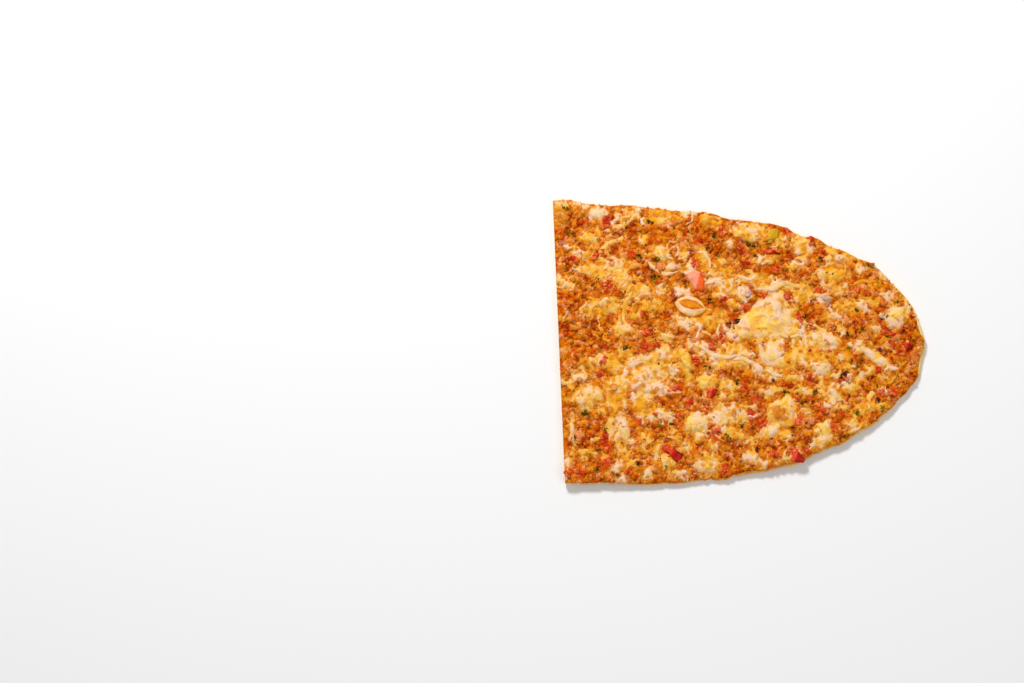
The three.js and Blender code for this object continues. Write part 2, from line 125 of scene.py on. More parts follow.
# Cheese melted over the meat: middle, length, width, turn in degrees, and tone from white to golden
FILM = [
    (16, 95, 9, 4, -15, 0.15), (26, 89, 12, 9, 0, 0.05), (1, 92, 9, 10, 60, 0.55),
    (51, 90, 10, 5, -10, 0.1), (44, 85, 16, 5, 12, 0.15), (71, 86, 22, 10, -3, 0.7),
    (70, 83, 10, 6, -20, 0.1), (21, 72, 12, 11, 70, 0.6), (10, 61, 10, 6, 0, 0.35), (18, 60, 7, 6, 0, 0.15),
    (70, 62, 12, 7, -10, 0.1), (77, 51, 9, 5, 5, 0.1), (35, 52, 24, 10, -5, 0.25), (24, 50, 14, 9, 0, 0.3),
    (43, 43, 22, 11, -30, 0.4), (53, 36, 16, 9, -20, 0.3), (31, 24, 24, 10, 5, 0.5),
    (38, 23, 6, 5, 0, 0.05), (6, 41, 11, 8, -20, 0.35), (46, 8, 14, 8, 20, 0.35), (53, 3, 7, 3, 30, 0.1),
    (74, 3, 10, 6, -30, 0.1), (84, 35, 10, 6, -20, 0.1), (89, 49, 6, 10, 20, 0.2), (86, 13, 7, 12, 20, 0.3),
    (104, 50, 5, 5, 0, 0.3), (63, 24, 14, 8, 0, 0.55), (58, -14, 32, 11, 8, 0.15),
    (73, -9, 12, 12, 50, 0.1), (58, -24, 40, 14, 12, 0.08), (66, -22, 12, 8, 10, 0.0),
    (38, -31, 16, 10, 0, 0.45), (20, -38, 22, 16, 0, 0.25), (16, -35, 7, 6, 0, 0.1),
    (38, -17, 7, 5, 0, 0.2), (48, -41, 6, 6, 0, 0.15), (38, -42, 20, 14, 40, 0.7),
    (54, -38, 14, 8, 0, 0.15), (58, -44, 14, 8, -10, 0.75), (72, -50, 12, 6, -25, 0.05),
    (44, -61, 22, 9, -75, 0.15), (35, -57, 14, 5, 80, 0.3), (43, -75, 12, 5, -60, 0.3),
    (40, -86, 9, 7, 30, 0.05), (42, -94, 6, 5, 0, 0.05), (60, -92, 6, 6, 70, 0.05),
    (67, -76, 10, 4, 85, 0.1), (73, -81, 10, 7, -40, 0.35), (8, -62, 18, 4, -80, 0.3),
    (6, -82, 14, 4, 88, 0.35), (83, -14, 24, 7, -62, 0.45), (83, -67, 12, 5, -20, 0.45),
    (86, -72, 6, 6, 0, 0.15), (97, -5, 14, 6, -20, 0.2), (108, -12, 12, 6, -20, 0.15),
    (119, -9, 20, 11, -15, 0.1), (120, -4, 12, 7, 0, 0.35), (121, -15, 14, 7, -15, 0.2),
    (144, -8, 18, 14, 60, 0.08), (145, -22, 12, 8, -30, 0.12), (158, -25, 12, 6, 10, 0.15),
    (163, -9, 22, 12, 10, 0.6), (164, -1, 16, 6, 0, 0.3), (101, -26, 10, 9, 0, 0.3),
    (114, -51, 28, 11, 0, 0.12), (110, -46, 10, 8, 0, 0.05), (118, -48, 10, 7, 0, 0.05),
    (94, -66, 10, 7, 0, 0.35), (104, -72, 8, 6, 0, 0.3), (112, -37, 11, 5, 0, 0.2),
    (142, -34, 12, 6, 0, 0.2), (116, 67, 6, 6, 0, 0.3), (109, 54, 7, 6, 0, 0.3), (150, 69, 8, 5, 0, 0.4),
    (57, 71, 7, 7, 0, 0.4), (60, -51, 9, 6, 0, 0.2), (31, -79, 6, 5, 0, 0.4), (177, -29, 5, 11, 0, 0.3),
    (221, -24, 8, 5, 0, 0.4), (165, 59, 6, 6, 0, 0.4), (50, 17, 6, 5, 0, 0.3), (171, -3, 6, 5, 0, 0.2),
    (192, -45, 5, 4, 0, 0.3), (112, -30, 12, 9, 0, 0.4), (120, 25, 7, 5, 0, 0.15), (155, -65, 8, 6, 0, 0.3),
    (213, 8, 8, 6, 0, 0.4), (92, -57, 18, 15, 25, 0.3), (151, -49, 21, 17, 15, 0.5),
    (143, -61, 16, 9, 20, 0.1), (128, -79, 10, 11, 70, 0.1), (98, -84, 16, 13, 40, 0.12),
    (137, -84, 8, 5, 20, 0.15), (163, -34, 4, 6, 80, 0.5), (166, -47, 6, 8, 70, 0.15),
    (118, -63, 22, 7, -20, 0.25), (152, -82, 10, 3, 12, 0.2), (103, 83, 12, 7, -10, 0.5),
    (130, 77, 22, 9, -5, 0.12), (88, 88, 8, 4, 0, 0.2), (166, 66, 16, 12, -20, 0.2),
    (98, 60, 8, 8, 0, 0.45), (110, 46, 10, 8, 0, 0.55), (110, 40, 24, 6, 0, 0.12),
    (112, 34, 12, 8, 0, 0.35), (132, 43, 20, 5, -5, 0.5), (148, 38, 30, 7, -3, 0.12),
    (125, 33, 8, 10, 75, 0.15), (165, 33, 12, 10, 0, 0.45), (150, 30, 12, 9, 60, 0.12),
    (143, 16, 34, 26, 30, 0.2), (158, 12, 14, 11, 0, 0.15), (150, 6, 40, 12, 0, 0.2),
    (122, 5, 18, 9, 0, 0.1), (104, 15, 14, 16, 60, 0.65), (90, 13, 8, 16, 75, 0.25),
    (160, 53, 8, 6, -20, 0.3), (139, 56, 12, 6, 0, 0.5), (180, 0, 20, 11, -25, 0.2),
    (212, -10, 28, 8, -36, 0.1), (177, -19, 16, 12, -30, 0.12), (172, -10, 14, 10, 0, 0.5),
    (186, -36, 18, 11, -75, 0.4), (190, -12, 12, 10, 0, 0.6), (206, -46, 16, 8, 20, 0.7),
    (174, -70, 14, 8, 20, 0.15), (199, -58, 9, 6, 0, 0.35), (179, -66, 12, 8, -30, 0.35),
    (246, -12, 12, 3, -80, 0.1), (226, -19, 6, 4, 0, 0.15), (218, -45, 8, 8, 0, 0.6),
    (186, 62, 14, 8, -20, 0.55), (183, 57, 6, 5, 0, 0.1), (191, 56, 5, 4, 0, 0.1), (185, 53, 8, 6, 0, 0.15),
    (188, 47, 16, 8, 0, 0.65), (195, 61, 8, 10, 60, 0.7), (179, 44, 8, 10, 0, 0.2),
    (206, 49, 6, 8, 80, 0.2), (221, 45, 12, 3, -45, 0.05), (223, 31, 10, 5, -35, 0.05),
    (214, 28, 12, 6, 0, 0.6), (229, 17, 16, 13, 40, 0.12), (186, 18, 8, 5, 0, 0.3),
    (196, -31, 9, 7, 0, 0.45), (244, 13, 16, 3, -72, 0.1), (235, 29, 14, 3, -55, 0.3),
    (205, 25, 10, 8, 0, 0.3), (190, 35, 10, 8, 0, 0.35), (181, 29, 8, 7, 0, 0.1), (195, 23, 12, 8, 0, 0.4),
    (192, 7, 4, 6, 0, 0.2), (120, 9, 10, 7, 0, 0.05), (150, -14, 16, 8, 0, 0.5), (63, -33, 20, 9, 0, 0.08),
    (42, -9, 14, 7, 0, 0.2), (76, -18, 8, 10, 0, 0.1), (30, -13, 22, 9, 20, 0.3),
    (16, -25, 14, 8, 20, 0.25), (30, 47, 18, 5, -40, 0.25), (69, 35, 8, 6, 0, 0.2),
    (108, -17, 8, 5, 0, 0.1), (135, -20, 8, 8, 0, 0.05), (206, -21, 20, 5, 10, 0.45),
    (58, -68, 7, 10, 0, 0.3), (83, -91, 14, 4, 0, 0.2), (20, -78, 10, 6, 0, 0.5), (84, 59, 5, 10, 20, 0.3),
]

# Thicker lumps of cheese, one to each solid: middle, length, width, turn, tone, the share that a
# brown centre takes up, how far the outline has three rounded corners, and the bearing of one
LUMPS = [
    (141, 16, 34, 29, 30, 0.1, 0, 0.22, 75), (180, 1, 19, 12, -30, 0.02, 0, 0.1, 150),
    (212, -10, 26, 8, -36, 0.06, 0, 0.14, 144), (228, 17, 15, 12, 40, -0.03, 0, 0.12, 50),
    (89, 24, 21.5, 13.5, -14, 0.05, 0.72, 0, 0), (151, -47, 21, 17, 15, 0.1, 0.6, 0.14, 50),
    (143, -61, 13, 9, 20, 0.03, 0, 0.12, 200), (86, -13, 20, 7.5, -64, 0.45, 0, 0, 0),
    (26, 87, 10.5, 8, 10, -0.1, 0, 0.08, 170), (69, 61, 13, 7.5, -25, 0.28, 0, 0.1, 0),
    (92, -57, 16, 13, 25, 0.24, 0, 0.08, 30), (44, -60, 17, 8, -78, 0.0, 0, 0.08, 90),
    (128, 72, 21, 8, -10, 0.2, 0, 0.08, 170), (177, -18, 13, 10, 0, -0.05, 0, 0.16, 40),
    (143, -9, 14, 12, 60, 0.02, 0, 0.14, 90), (179, -59, 14, 11, 50, 0.32, 0, 0.16, 60),
    (98, -27, 11, 9, 0, 0.3, 0, 0.14, 20),
]

# The number of the smooth lump like an almond, with a long brown centre, and how pointed its ends are
ALMOND = 4
POINTED = 0.55

# Strands of cheese: width, tone and the points that each follows
STRANDS = [
    (2.6, 0.05, [(61, 55), (65, 50), (72, 46), (81, 48)]),
    (2.4, 0.1, [(66, 60), (73, 59), (79, 56)]),
    (2.4, 0.15, [(94, 61), (99, 61), (102, 56), (103, 49)]),
    (2.2, 0.35, [(50, 34), (46, 28), (43, 21), (44, 13)]),
    (3.4, 0.25, [(30, 75), (39, 78), (47, 83), (54, 87)]),
    (3.4, 0.35, [(27, 60), (33, 67), (41, 70), (49, 73)]),
    (3.0, 0.05, [(95, -3), (103, -9), (112, -12), (121, -10)]),
    (2.4, 0.1, [(100, 39), (106, 43), (113, 41)]),
    (2.2, 0.1, [(115, 40), (122, 44), (129, 42), (134, 45)]),
    (2.8, 0.1, [(139, 37), (147, 36), (153, 40), (160, 39)]),
    (2.4, 0.3, [(151, 41), (158, 38), (165, 37), (169, 32), (170, 26)]),
    (3.4, 0.03, [(184, -32), (186, -38), (185, -45)]),
    (2.2, 0.2, [(8, -56), (9, -63), (7, -69)]),
    (2.4, 0.1, [(68, -71), (66, -76), (67, -81)]),
    (2.5, 0.25, [(34, -53), (36, -60), (34, -67)]),
    (2.0, 0.7, [(197, 38), (206, 41), (216, 41)]),
    (2.4, 0.35, [(70, -79), (75, -81), (77, -86)]),
    (3.0, 0.08, [(122, 37), (123, 31), (127, 26)]),
    (2.0, 0.5, [(162, -29), (164, -34), (163, -38)]),
    (2.4, 0.1, [(118, -13), (125, -12), (131, -15)]),
    (3.0, 0.05, [(135, -2), (138, -9), (143, -16)]),
    (2.4, 0.1, [(109, 12), (107, 7), (108, 2)]),
    (2.0, 0.1, [(51, 29), (54, 28), (54, 25)]),
    (2.4, 0.1, [(65, -48), (71, -50), (79, -53)]),
    (2.2, 0.2, [(176, 47), (178, 42), (181, 38)]),
    (2.0, 0.2, [(148, 5), (156, 2), (163, 4)]),
    (2.4, 0.1, [(140, -20), (145, -24), (151, -25)]),
]

# Bits of tomato and red pepper: middle, length, width, turn and shade from orange to deep red
RED_BITS = [
    (33, 39, 8, 5, 0, 0.6), (49.5, 60.5, 5, 4, -20, 0.7), (25, 58, 7, 4, 0, 0.3), (34, 83, 6, 8, 80, 0.8),
    (60, 6, 8, 4, 5, 0.3), (8, 56, 6, 5, 0, 0.8), (58, 19, 5, 2, 0, 0.8), (60, -5, 5, 5, 0, 0.6),
    (66, -4, 5, 4, 40, 0.4), (32, -12, 6, 4, 30, 0.5), (27, -15, 4, 3, 20, 0.5),
    (28, -22.5, 5, 1.6, 5, 0.9), (31, -66, 9, 3.6, 85, 0.95), (33, -82, 5, 5, 0, 0.2),
    (6, -90, 8, 6, 10, 0.7), (14, -90, 6, 5, 0, 0.7), (47, -88, 5, 3, 20, 0.8), (33, -73, 5, 3, -30, 0.4),
    (79, -32, 9, 4, -5, 0.25), (72, -73.5, 5, 4, 0, 0.7), (75, -75.5, 5, 3, 0, 0.95),
    (88, -42, 4, 4, 0, 0.5), (80, -52, 6, 4, -20, 0.6), (92, -13, 6, 5, 0, 0.35), (106, -63, 9, 5, 80, 0.4),
    (101, -45, 4, 3, 0, 0.8), (97.5, -48, 3.5, 3, 0, 0.5), (126, -32, 8, 3, -50, 0.7),
    (133, -39, 8, 3, 30, 0.6), (137, -56, 8, 5, 80, 0.2), (130, -51, 5, 6, 0, 0.5),
    (145, -78, 5, 4, 0, 0.3), (166, -75, 5, 3, 0, 0.1), (155, -30, 8, 3, 0, 0.8), (170, -27, 6, 4, 80, 0.7),
    (159, -39, 6, 3, -20, 0.8), (161, -54, 10, 4, 45, 0.15), (112, -88, 6, 3.5, 50, 0.3),
    (103, -4, 7, 4, -35, 0.2), (110, 3, 8, 5, 80, 0.5), (92, 53, 6, 4, 0, 0.2), (111, 76, 7, 5, 70, 0.25),
    (124, 63, 4, 5, 0, 0.8), (128, 53.5, 5, 4, 0, 0.9), (147, 50.5, 6, 4, 0, 0.8),
    (155, 31, 8, 3.5, 5, 0.6), (163, 16, 6, 5, 80, 0.7), (126, 23, 6, 3, 0, 0.3), (138, 31, 4, 4, 0, 0.1),
    (171, 71, 5, 2.5, 0, 0.6), (171, 67, 4, 3, 0, 0.95), (179, 62, 5, 4, 0, 0.9), (155, 76, 4, 4, 0, 0.3),
    (177, 35, 4, 3, 0, 0.5), (219, 10.5, 4, 4, 0, 0.7), (220, 6.5, 4.5, 4, 0, 0.6),
    (226, 5.5, 4, 3, 0, 0.7), (231, -9, 5, 4, 0, 0.7), (215, -20, 5, 4, 0, 0.45), (225, -35, 6, 5, 0, 0.4),
    (185, -58, 7, 3, -40, 0.4), (203, 35, 3, 3, 0, 0.9), (209, 32, 4, 3, 0, 0.9), (96, 69, 4, 2, 0, 0.8),
    (113, 29, 5, 3, 0, 0.6), (54, -55, 4, 3, 0, 0.5), (177, -48, 6, 3, 0, 0.7), (194, -27, 3, 3, 0, 0.5),
]

# Herbs: middle, length, width, turn and shade from green to nearly black
HERBS = [
    (5, 92, 6, 3, -20, 0.4), (61, 83, 9, 3, -25, 0.8), (35, 87, 3, 4, 0, 0.1), (4, 82, 4, 3, 0, 0.1),
    (55, 58, 6, 3, -70, 0.9), (66, 56, 6, 4, 0, 0.7), (65, 44, 8, 3, 10, 0.7), (8, 75, 6, 4, 0, 0.3),
    (45, -5, 4, 3, -40, 0.8), (18, -50, 6, 5, -50, 0.7), (68, -57, 7, 3, 70, 0.3), (31, -60, 4, 3, 0, 0.5),
    (26, -88, 5, 3, 0, 0.5), (39, -92, 4, 3, 0, 0.2), (54, -84, 4, 3, 0, 0.9), (10, -65, 3, 3, 0, 0.9),
    (76, -56, 4, 2, 0, 0.9), (71, -86, 4, 2, 30, 0.6), (26, -74, 3, 2, 0, 0.4),
    (100, -17.5, 5, 3, -20, 0.7), (145, -27.5, 4, 2, 20, 0.8), (153, -35, 7, 3, 0, 0.9),
    (114, -66, 7, 3, -60, 0.35), (165, -42, 6, 3, 10, 0.6), (158, -60, 4, 3, 0, 0.5),
    (124, -57.5, 3, 3, 0, 0.8), (121, -28, 4, 3, 80, 0.8), (101, 63.5, 5, 3, 30, 1.0),
    (106, 73, 4, 4, 0, 0.4), (129, 67, 6, 3, -70, 0.9), (132, 65.5, 4, 2, 0, 0.8), (134, 59, 3, 4, 0, 0.9),
    (143, 67, 3, 2, 0, 0.8), (103, 28, 5, 4, 0, 0.7), (118, 9, 4, 2, 0, 0.1), (168, 17, 4, 3, 0, 1.0),
    (173, -35, 3, 4, 0, 0.6), (196, -5, 3, 3, 0, 0.1), (196, -28, 4, 3, 0, 0.15), (201, -49, 5, 4, 80, 0.5),
    (218, -46, 3, 4, 0, 0.2), (203, -17, 6, 2, 20, 1.0), (198, -13.5, 2, 2, 0, 1.0),
    (192, -65, 4, 2, 0, 1.0), (211, 52.5, 10, 3, -15, 0.5), (178, 56, 5, 3, -70, 0.7),
    (182, 47, 2, 2, 0, 0.6), (186, 46, 2, 2, 0, 0.7), (206, 8, 4, 3, 0, 0.6), (195.5, 4.5, 4, 3, 60, 1.0),
    (223, 17, 4, 3, 30, 0.2), (219, 16, 3, 3, 0, 1.0), (223, 3, 5, 1.5, 0, 0.7), (229, 27, 4, 1.5, 0, 0.4),
    (202, 22, 4, 3, 0, 0.6), (211, -25, 6, 2, 10, 0.9),
]

# Bits of purple onion: middle, length, width, turn and shade from dark purple to pale
ONION_BITS = [
    (121, 14, 13, 4.5, 10, 0.05), (193, -23, 8, 5, 10, 0.05), (215, -40.5, 5.5, 4, 80, 0.05),
    (133, -74.5, 5, 2.5, 85, 0.2), (51, 40, 3, 3, 0, 0.4), (170, -6.5, 3, 3, 0, 0.4),
    (217, -5.5, 3, 3, 0, 0.3), (55, -84, 3, 2, 0, 0.3), (72, -67.5, 4, 2, 0, 0.4), (181, 30, 6, 4, 0, 0.95),
    (129, 33, 7, 5, 20, 0.85), (238, -15.5, 3, 3, 0, 0.4),
]

# Brown blisters on the cheese: middle and width
BLISTERS = [
    (26, -42, 4), (21.5, -23.5, 4), (43, -13, 4), (48, -20, 3), (37, -32, 5), (118, -50.5, 3.5),
    (136, 7, 4), (36, 53.5, 4), (46, 52, 4), (103, 37, 7), (190, 52, 6), (192, 62, 4), (45, -52, 5),
    (47, -37, 4), (61, -44, 4), (34, -47, 5), (162, 37, 4), (152, 44, 4), (172, -20, 3), (88, -58, 4),
    (145, 28, 3), (14, -27, 4), (60, 30, 4), (107, 88, 3), (72, 88, 3), (78, 84, 4), (66, 87, 3),
    (143.5, 31.5, 3), (122, 11, 4), (133, 8, 4), (52, -28, 3), (31, -36, 3), (66, -33, 3), (56, -16, 3),
    (28, -30, 4),
]

# Clumps of darker meat with little cheese: middle, length, width and turn
DARK_MEAT = [
    (10, 82, 20, 16, 0), (60, 78, 34, 8, 5), (45, 71, 14, 6, 20), (17, 41, 18, 11, 0), (28, 33, 20, 6, -10),
    (93, 75, 26, 14, 0), (110, 64, 22, 10, 0), (140, 51, 28, 8, 0), (160, 57, 18, 8, 0),
    (124, 26, 20, 8, -10), (18, -64, 26, 20, 0), (25, -80, 26, 14, 0), (56, -56, 18, 12, 0),
    (85, -84, 12, 12, 0), (118, -74, 18, 12, 0), (134, -48, 14, 22, 0), (167, -60, 14, 14, 0),
    (220, 38, 24, 10, -35), (205, 35, 16, 8, -20), (240, 6, 12, 22, 0), (218, 24, 14, 9, 0),
    (174, 45, 10, 18, 0), (20, 4, 24, 14, 0), (80, 29, 12, 14, 0), (105, 28, 12, 10, 0),
    (208, 48, 18, 12, 0), (225, -14, 20, 18, 0), (45, 80, 26, 10, 0), (202, 4, 16, 12, 0),
    (134, 30, 9, 8, 0), (37, 70, 14, 8, 30), (33, 17, 14, 8, 0), (75, -40, 16, 8, 0), (164, 46, 14, 6, 0),
    (152, -7, 8, 8, 0), (184, 5, 8, 5, 0), (147, 62, 10, 6, 0), (60, 47, 10, 7, 0),
]

# Larger pieces of tomato and pepper: node, shade and the corners of its outline
VEGETABLES = [
    ("tomato_01", 0.38, [(86.4, 44.8), (92.5, 49.2), (97.2, 47), (98.9, 40.9), (98.5, 34.3), (93.3, 34.5)]),
    ("red_pepper_02", 0.5, [
        (156.2, -74.9), (158.8, -73.2), (161, -75.8), (165.9, -81), (164.4, -83.2), (159.2, -83.2),
        (155.8, -81.9), (157.1, -78)]),
    ("red_pepper_03", 0.62, [
        (69.2, -71.8), (72.6, -71.4), (74.8, -73.6), (79.1, -74.9), (83.4, -77.1), (82.5, -81),
        (79.1, -83.2), (76.5, -80.2), (73.9, -76.2), (70.5, -74.9)]),
    ("red_pepper_04", 0.6, [
        (136.8, 62.3), (141.5, 63.2), (147.1, 62.8), (151, 61), (150.2, 59.4), (145.4, 60.6),
        (140.2, 60.6)]),
    ("red_pepper_05", 0.55, [
        (99.8, -32.8), (103.7, -31.5), (107.2, -33.3), (105.9, -36.3), (103.3, -39.4), (100.2, -38.5),
        (100.7, -35.5)]),
    ("red_pepper_06", 0.6, [
        (231.9, -2.2), (234.4, -0.4), (237.4, -1.6), (239.1, -3.5), (237.8, -5.1), (235.2, -6.3),
        (233.5, -3.9)]),
    ("green_pepper_07", 0.3, [
        (141.1, 73.3), (143.3, 76.8), (147.6, 77.8), (149.9, 75.5), (149.3, 71.5), (145.8, 69.3),
        (142.1, 70.2)]),
]


def smooth(low, high, value):
    share = np.clip((value - low) / (high - low), 0.0, 1.0)
    return share * share * (3 - 2 * share)


def mix(start, end, share):
    return start + (end - start) * share


def hashed(i, j, layer):
    """A repeatable number from 0 to 1 for each pair of whole numbers."""
    mask = np.uint64(0xFFFFFFFF)
    i, j = i.astype(np.int64), j.astype(np.int64)
    n = (i * 374761393 + j * 668265263 + layer * 974634777).astype(np.uint64)
    n = ((n & mask) ^ ((n & mask) >> np.uint64(13))) * np.uint64(1274126177) & mask
    n = (n ^ (n >> np.uint64(16))) * np.uint64(2246822519) & mask
    return (n ^ (n >> np.uint64(15))) / 4294967296.0


def noise(x, y, layer, size=1.0):
    """Smooth noise from -1 to 1 with bumps of a given size. Each layer has its bumps at other places."""
    x, y = np.asarray(x) / size, np.asarray(y) / size
    i, j = np.floor(x), np.floor(y)
    u, v = smooth(0, 1, x - i), smooth(0, 1, y - j)
    low = mix(hashed(i, j, layer), hashed(i + 1, j, layer), u)
    high = mix(hashed(i, j + 1, layer), hashed(i + 1, j + 1, layer), u)
    return mix(low, high, v) * 2 - 1


def noises(x, y, *parts):
    """A sum of noises, each given as its weight, layer and size."""
    return sum(weight * noise(x, y, layer, size) for weight, layer, size in parts)


def fractal(x, y, layer, size, octaves=3):
    """Noise with finer and weaker noise on it."""
    parts = noises(x, y, *((0.5 ** k, layer + k, size / 2 ** k) for k in range(octaves)))
    return parts / sum(0.5 ** k for k in range(octaves))


def warped(x, y, layer, *parts):
    """Places moved about by noises, each given as its reach and size."""
    moved = []
    for value in (x, y):
        for reach, size in parts:
            value = value + reach * noise(x, y, layer, size)
            layer += 1
        moved.append(value)
    return moved


def turned(dx, dy, degrees):
    """Offsets along and across a piece that is turned by an angle."""
    c, s = math.cos(math.radians(degrees)), math.sin(math.radians(degrees))
    return dx * c + dy * s, dy * c - dx * s


def outness(x, y, oval, wider=0.0):
    """How far out places are in an oval of middle, length, width and turn, with 1 on its outline."""
    px, py, length, width, turn = oval[:5]
    along, across = turned(x - px, y - py, turn)
    return np.hypot(along / (length / 2 + wider), across / (width / 2 + wider))


def tones(*colours):
    """Colours of 0 to 255, as a screen shows them, in linear light."""
    share = np.array(colours) / 255
    return np.where(share <= 0.04045, share / 12.92, ((share + 0.055) / 1.055) ** 2.4)


def ramp(stops, share):
    """Colours along a list of stops, from the first at a share of 0 or less to the last at 1 or more."""
    places = np.linspace(0, 1, len(stops))
    return np.stack([np.interp(share, places, channel) for channel in np.transpose(stops)], axis=-1)


def painted(colours, *coats):
    """Colours under coats that follow each other, each a colour and its share at each place."""
    for coat, share in coats:
        colours = mix(colours, coat, np.asarray(share)[..., None])
    return colours


MEAT_TONES = tones((144, 28, 0), (195, 74, 0), (219, 107, 2), (232, 142, 32), (242, 174, 110))
CRUMB_TONES = tones(
    (146, 30, 0), (201, 80, 4), (222, 80, 20), (226, 119, 26), (236, 155, 56), (241, 166, 112))
CHEESE_TONES = tones((248, 209, 174), (247, 200, 114), (242, 171, 46), (235, 141, 14), (208, 100, 2))
RED_TONES = tones((240, 118, 78), (230, 60, 40), (204, 28, 22), (150, 10, 8))
TOMATO_TONES = tones((252, 166, 134), (244, 118, 70), (236, 86, 14), (216, 50, 10))
GREEN_TONES = tones((222, 166, 40), (190, 150, 10), (158, 132, 8))
HERB_TONES = tones((120, 112, 10), (84, 72, 6), (52, 36, 2), (30, 12, 2))
ONION_TONES = tones((46, 2, 18), (140, 50, 70), (222, 178, 164))
CRUST_TONES = tones((251, 210, 134), (247, 186, 84), (232, 146, 42), (194, 96, 14))
UNDERSIDE_TONES = tones((238, 212, 160), (214, 164, 94), (150, 88, 36))
# The first of these is a dark colour for painted shade in the gaps between crumbs of meat, also used for the
# middle of the topping's floor
MEAT_GAP_SHADE, PINKISH, RUSSET, GOLD = tones((97, 4, 0), (238, 160, 110), (208, 66, 12), (234, 154, 24))
GLAZE, JUICE, OLIVE = tones((238, 161, 44), (222, 72, 20), (120, 84, 4))
YOLK, LEMON, BLISTER, SPOT = tones((247, 182, 44), (252, 214, 104), (208, 98, 2), (226, 130, 12))
BROWNED, SEARED, SCORCHED = tones((234, 148, 24), (212, 112, 6), (140, 56, 0))
CRUMB_SIDE, CRUMB_PORE = tones((250, 219, 160), (226, 170, 98))

# Loose bits: their tones, the share of the colour below that they soak up, how mottled and how uneven
# they are, and how many flat sides each has
LOOSE_KINDS = {
    "meat_crumbs": (CRUMB_TONES, 0.6, 1.0, 0.35, 5),
    "red_bits": (RED_TONES, 0.15, 0.8, 0.25, 5),
    "chopped_herbs": (HERB_TONES, 0.06, 0.5, 0.3, 5),
    "herb_flecks": (HERB_TONES, 0.08, 0.5, 0.3, 7),
    "onion_bits": (ONION_TONES, 0.04, 0.4, 0.15, 6),
}

SHIFT = np.array([cad_box[0][0] / MM - CUT_BACK[0], cad_box[1][1] / MM - MOST_BACK])


def outline():
    """The bread's outline, read from its solid: bearings and distances round the centre."""
    corners = np.array([v.co[:2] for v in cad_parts["bread"].data.vertices]) / MM - SHIFT
    offset = np.unique(corners.round(3), axis=0) - np.array(CENTRE)
    bearing = np.arctan2(offset[:, 1], offset[:, 0])
    far = np.hypot(offset[:, 0], offset[:, 1])
    apart = np.abs(bearing[:, None] - bearing[None])
    ahead = far >= np.where(apart < math.radians(0.2), far[None], 0).max(axis=1)
    outermost = ahead & (far > 0.95 * np.where(apart < math.radians(2.5), far[None], 0).max(axis=1))
    order = np.argsort(bearing[outermost])
    return bearing[outermost][order], far[outermost][order]


EDGE_BEARING, EDGE_FAR = outline()


def from_centre(x, y):
    return np.hypot(x - CENTRE[0], y - CENTRE[1])


def pulled(x, y, share):
    """Places moved along their rays from the centre to a share of their distance."""
    return CENTRE[0] + (x - CENTRE[0]) * share, CENTRE[1] + (y - CENTRE[1]) * share


def around(x, y):
    """For places: how far from the centre the outline is there, and its share of crust."""
    bearing = np.arctan2(y - CENTRE[1], x - CENTRE[0])
    edge = np.interp(bearing, EDGE_BEARING, EDGE_FAR, period=2 * math.pi)
    edge_x, edge_y = CENTRE[0] + edge * np.cos(bearing), CENTRE[1] + edge * np.sin(bearing)
    across = (edge_y - CUT_FRONT[1]) / (CUT_BACK[1] - CUT_FRONT[1])
    crust = smooth(0.2, CORNER_RUN, edge_x - mix(CUT_FRONT[0], CUT_BACK[0], across))
    ragged = noises(edge_x, edge_y, (1, 8, 4.5), (0.5, 9, 1.7))
    return edge + EDGE_RAGGED * ragged * crust, crust


def lift(x, y):
    """The edge of the bread curls up off the table, more at some places than at others."""
    fullness = np.where(y < 0, FRONT_FULLNESS, BACK_FULLNESS)
    reach = ((np.abs(x) / TIP_REACH) ** fullness + (np.abs(y) / SIDE_REACH) ** fullness) ** (1 / fullness)
    share = 0.55 + 0.45 * np.sin(x / 26 + np.where(y < 0, 1.2, 3.6))
    return EDGE_LIFT * share * smooth(LIFT_START, 1.03, reach) ** 2


def placed(corners):
    """Places in millimetres from the middle of the cut, as metres in the part's frame."""
    return (np.asarray(corners, float) + np.array([*SHIFT, 0])) * MM


def add_object(name, data, place=(0, 0, 0), target=None):
    """Puts an object into the scene, facing its target if it has one."""
    item = bpy.data.objects.new(name, data)
    item.location = place
    if target is not None:
        item.rotation_euler = (Vector(target) - Vector(place)).to_track_quat("-Z", "Y").to_euler()
    bpy.context.scene.collection.objects.link(item)
    return item


def add_piece(name, corners, faces, colours, material, cheese=None):
    """Makes a piece from arrays, with a colour for each corner, and lets it ride on the body.

    The cheese is how far each corner is melted cheese, from 0 to 1."""
    mesh = bpy.data.meshes.new(name)
    mesh.from_pydata(placed(corners).tolist(), [], faces)
    tint = mesh.color_attributes.new(name="tint", type="FLOAT_COLOR", domain="POINT")
    rgba = np.ones((len(corners), 4), np.float32)
    rgba[:, :3] = colours
    tint.data.foreach_set("color", rgba.ravel())
    if cheese is not None:
        mesh.attributes.new("cheese", "FLOAT", "POINT").data.foreach_set("value", cheese.astype(np.float32))
    mesh.polygons.foreach_set("use_smooth", np.ones(len(mesh.polygons), bool))
    mesh.validate()
    mesh.update()
    mesh.materials.append(material)
    piece = add_object(name, mesh)
    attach(piece, "root")
    return piece


def walls(rings):
    """Quads between each closed ring of corner numbers and the next ring."""
    rings = np.array(rings)
    after = np.roll(rings, -1, axis=1)
    return np.stack([rings[:-1], after[:-1], after[1:], rings[1:]], axis=-1).reshape(-1, 4).tolist()


def turned_over(faces):
    """Faces that look the other way."""
    return [face[:1] + face[:0:-1] for face in faces]


def fan(middle, ring):
    """Triangles between a middle corner and a closed ring."""
    return np.stack([np.full(len(ring), middle), ring, np.roll(ring, -1)], axis=-1).tolist()


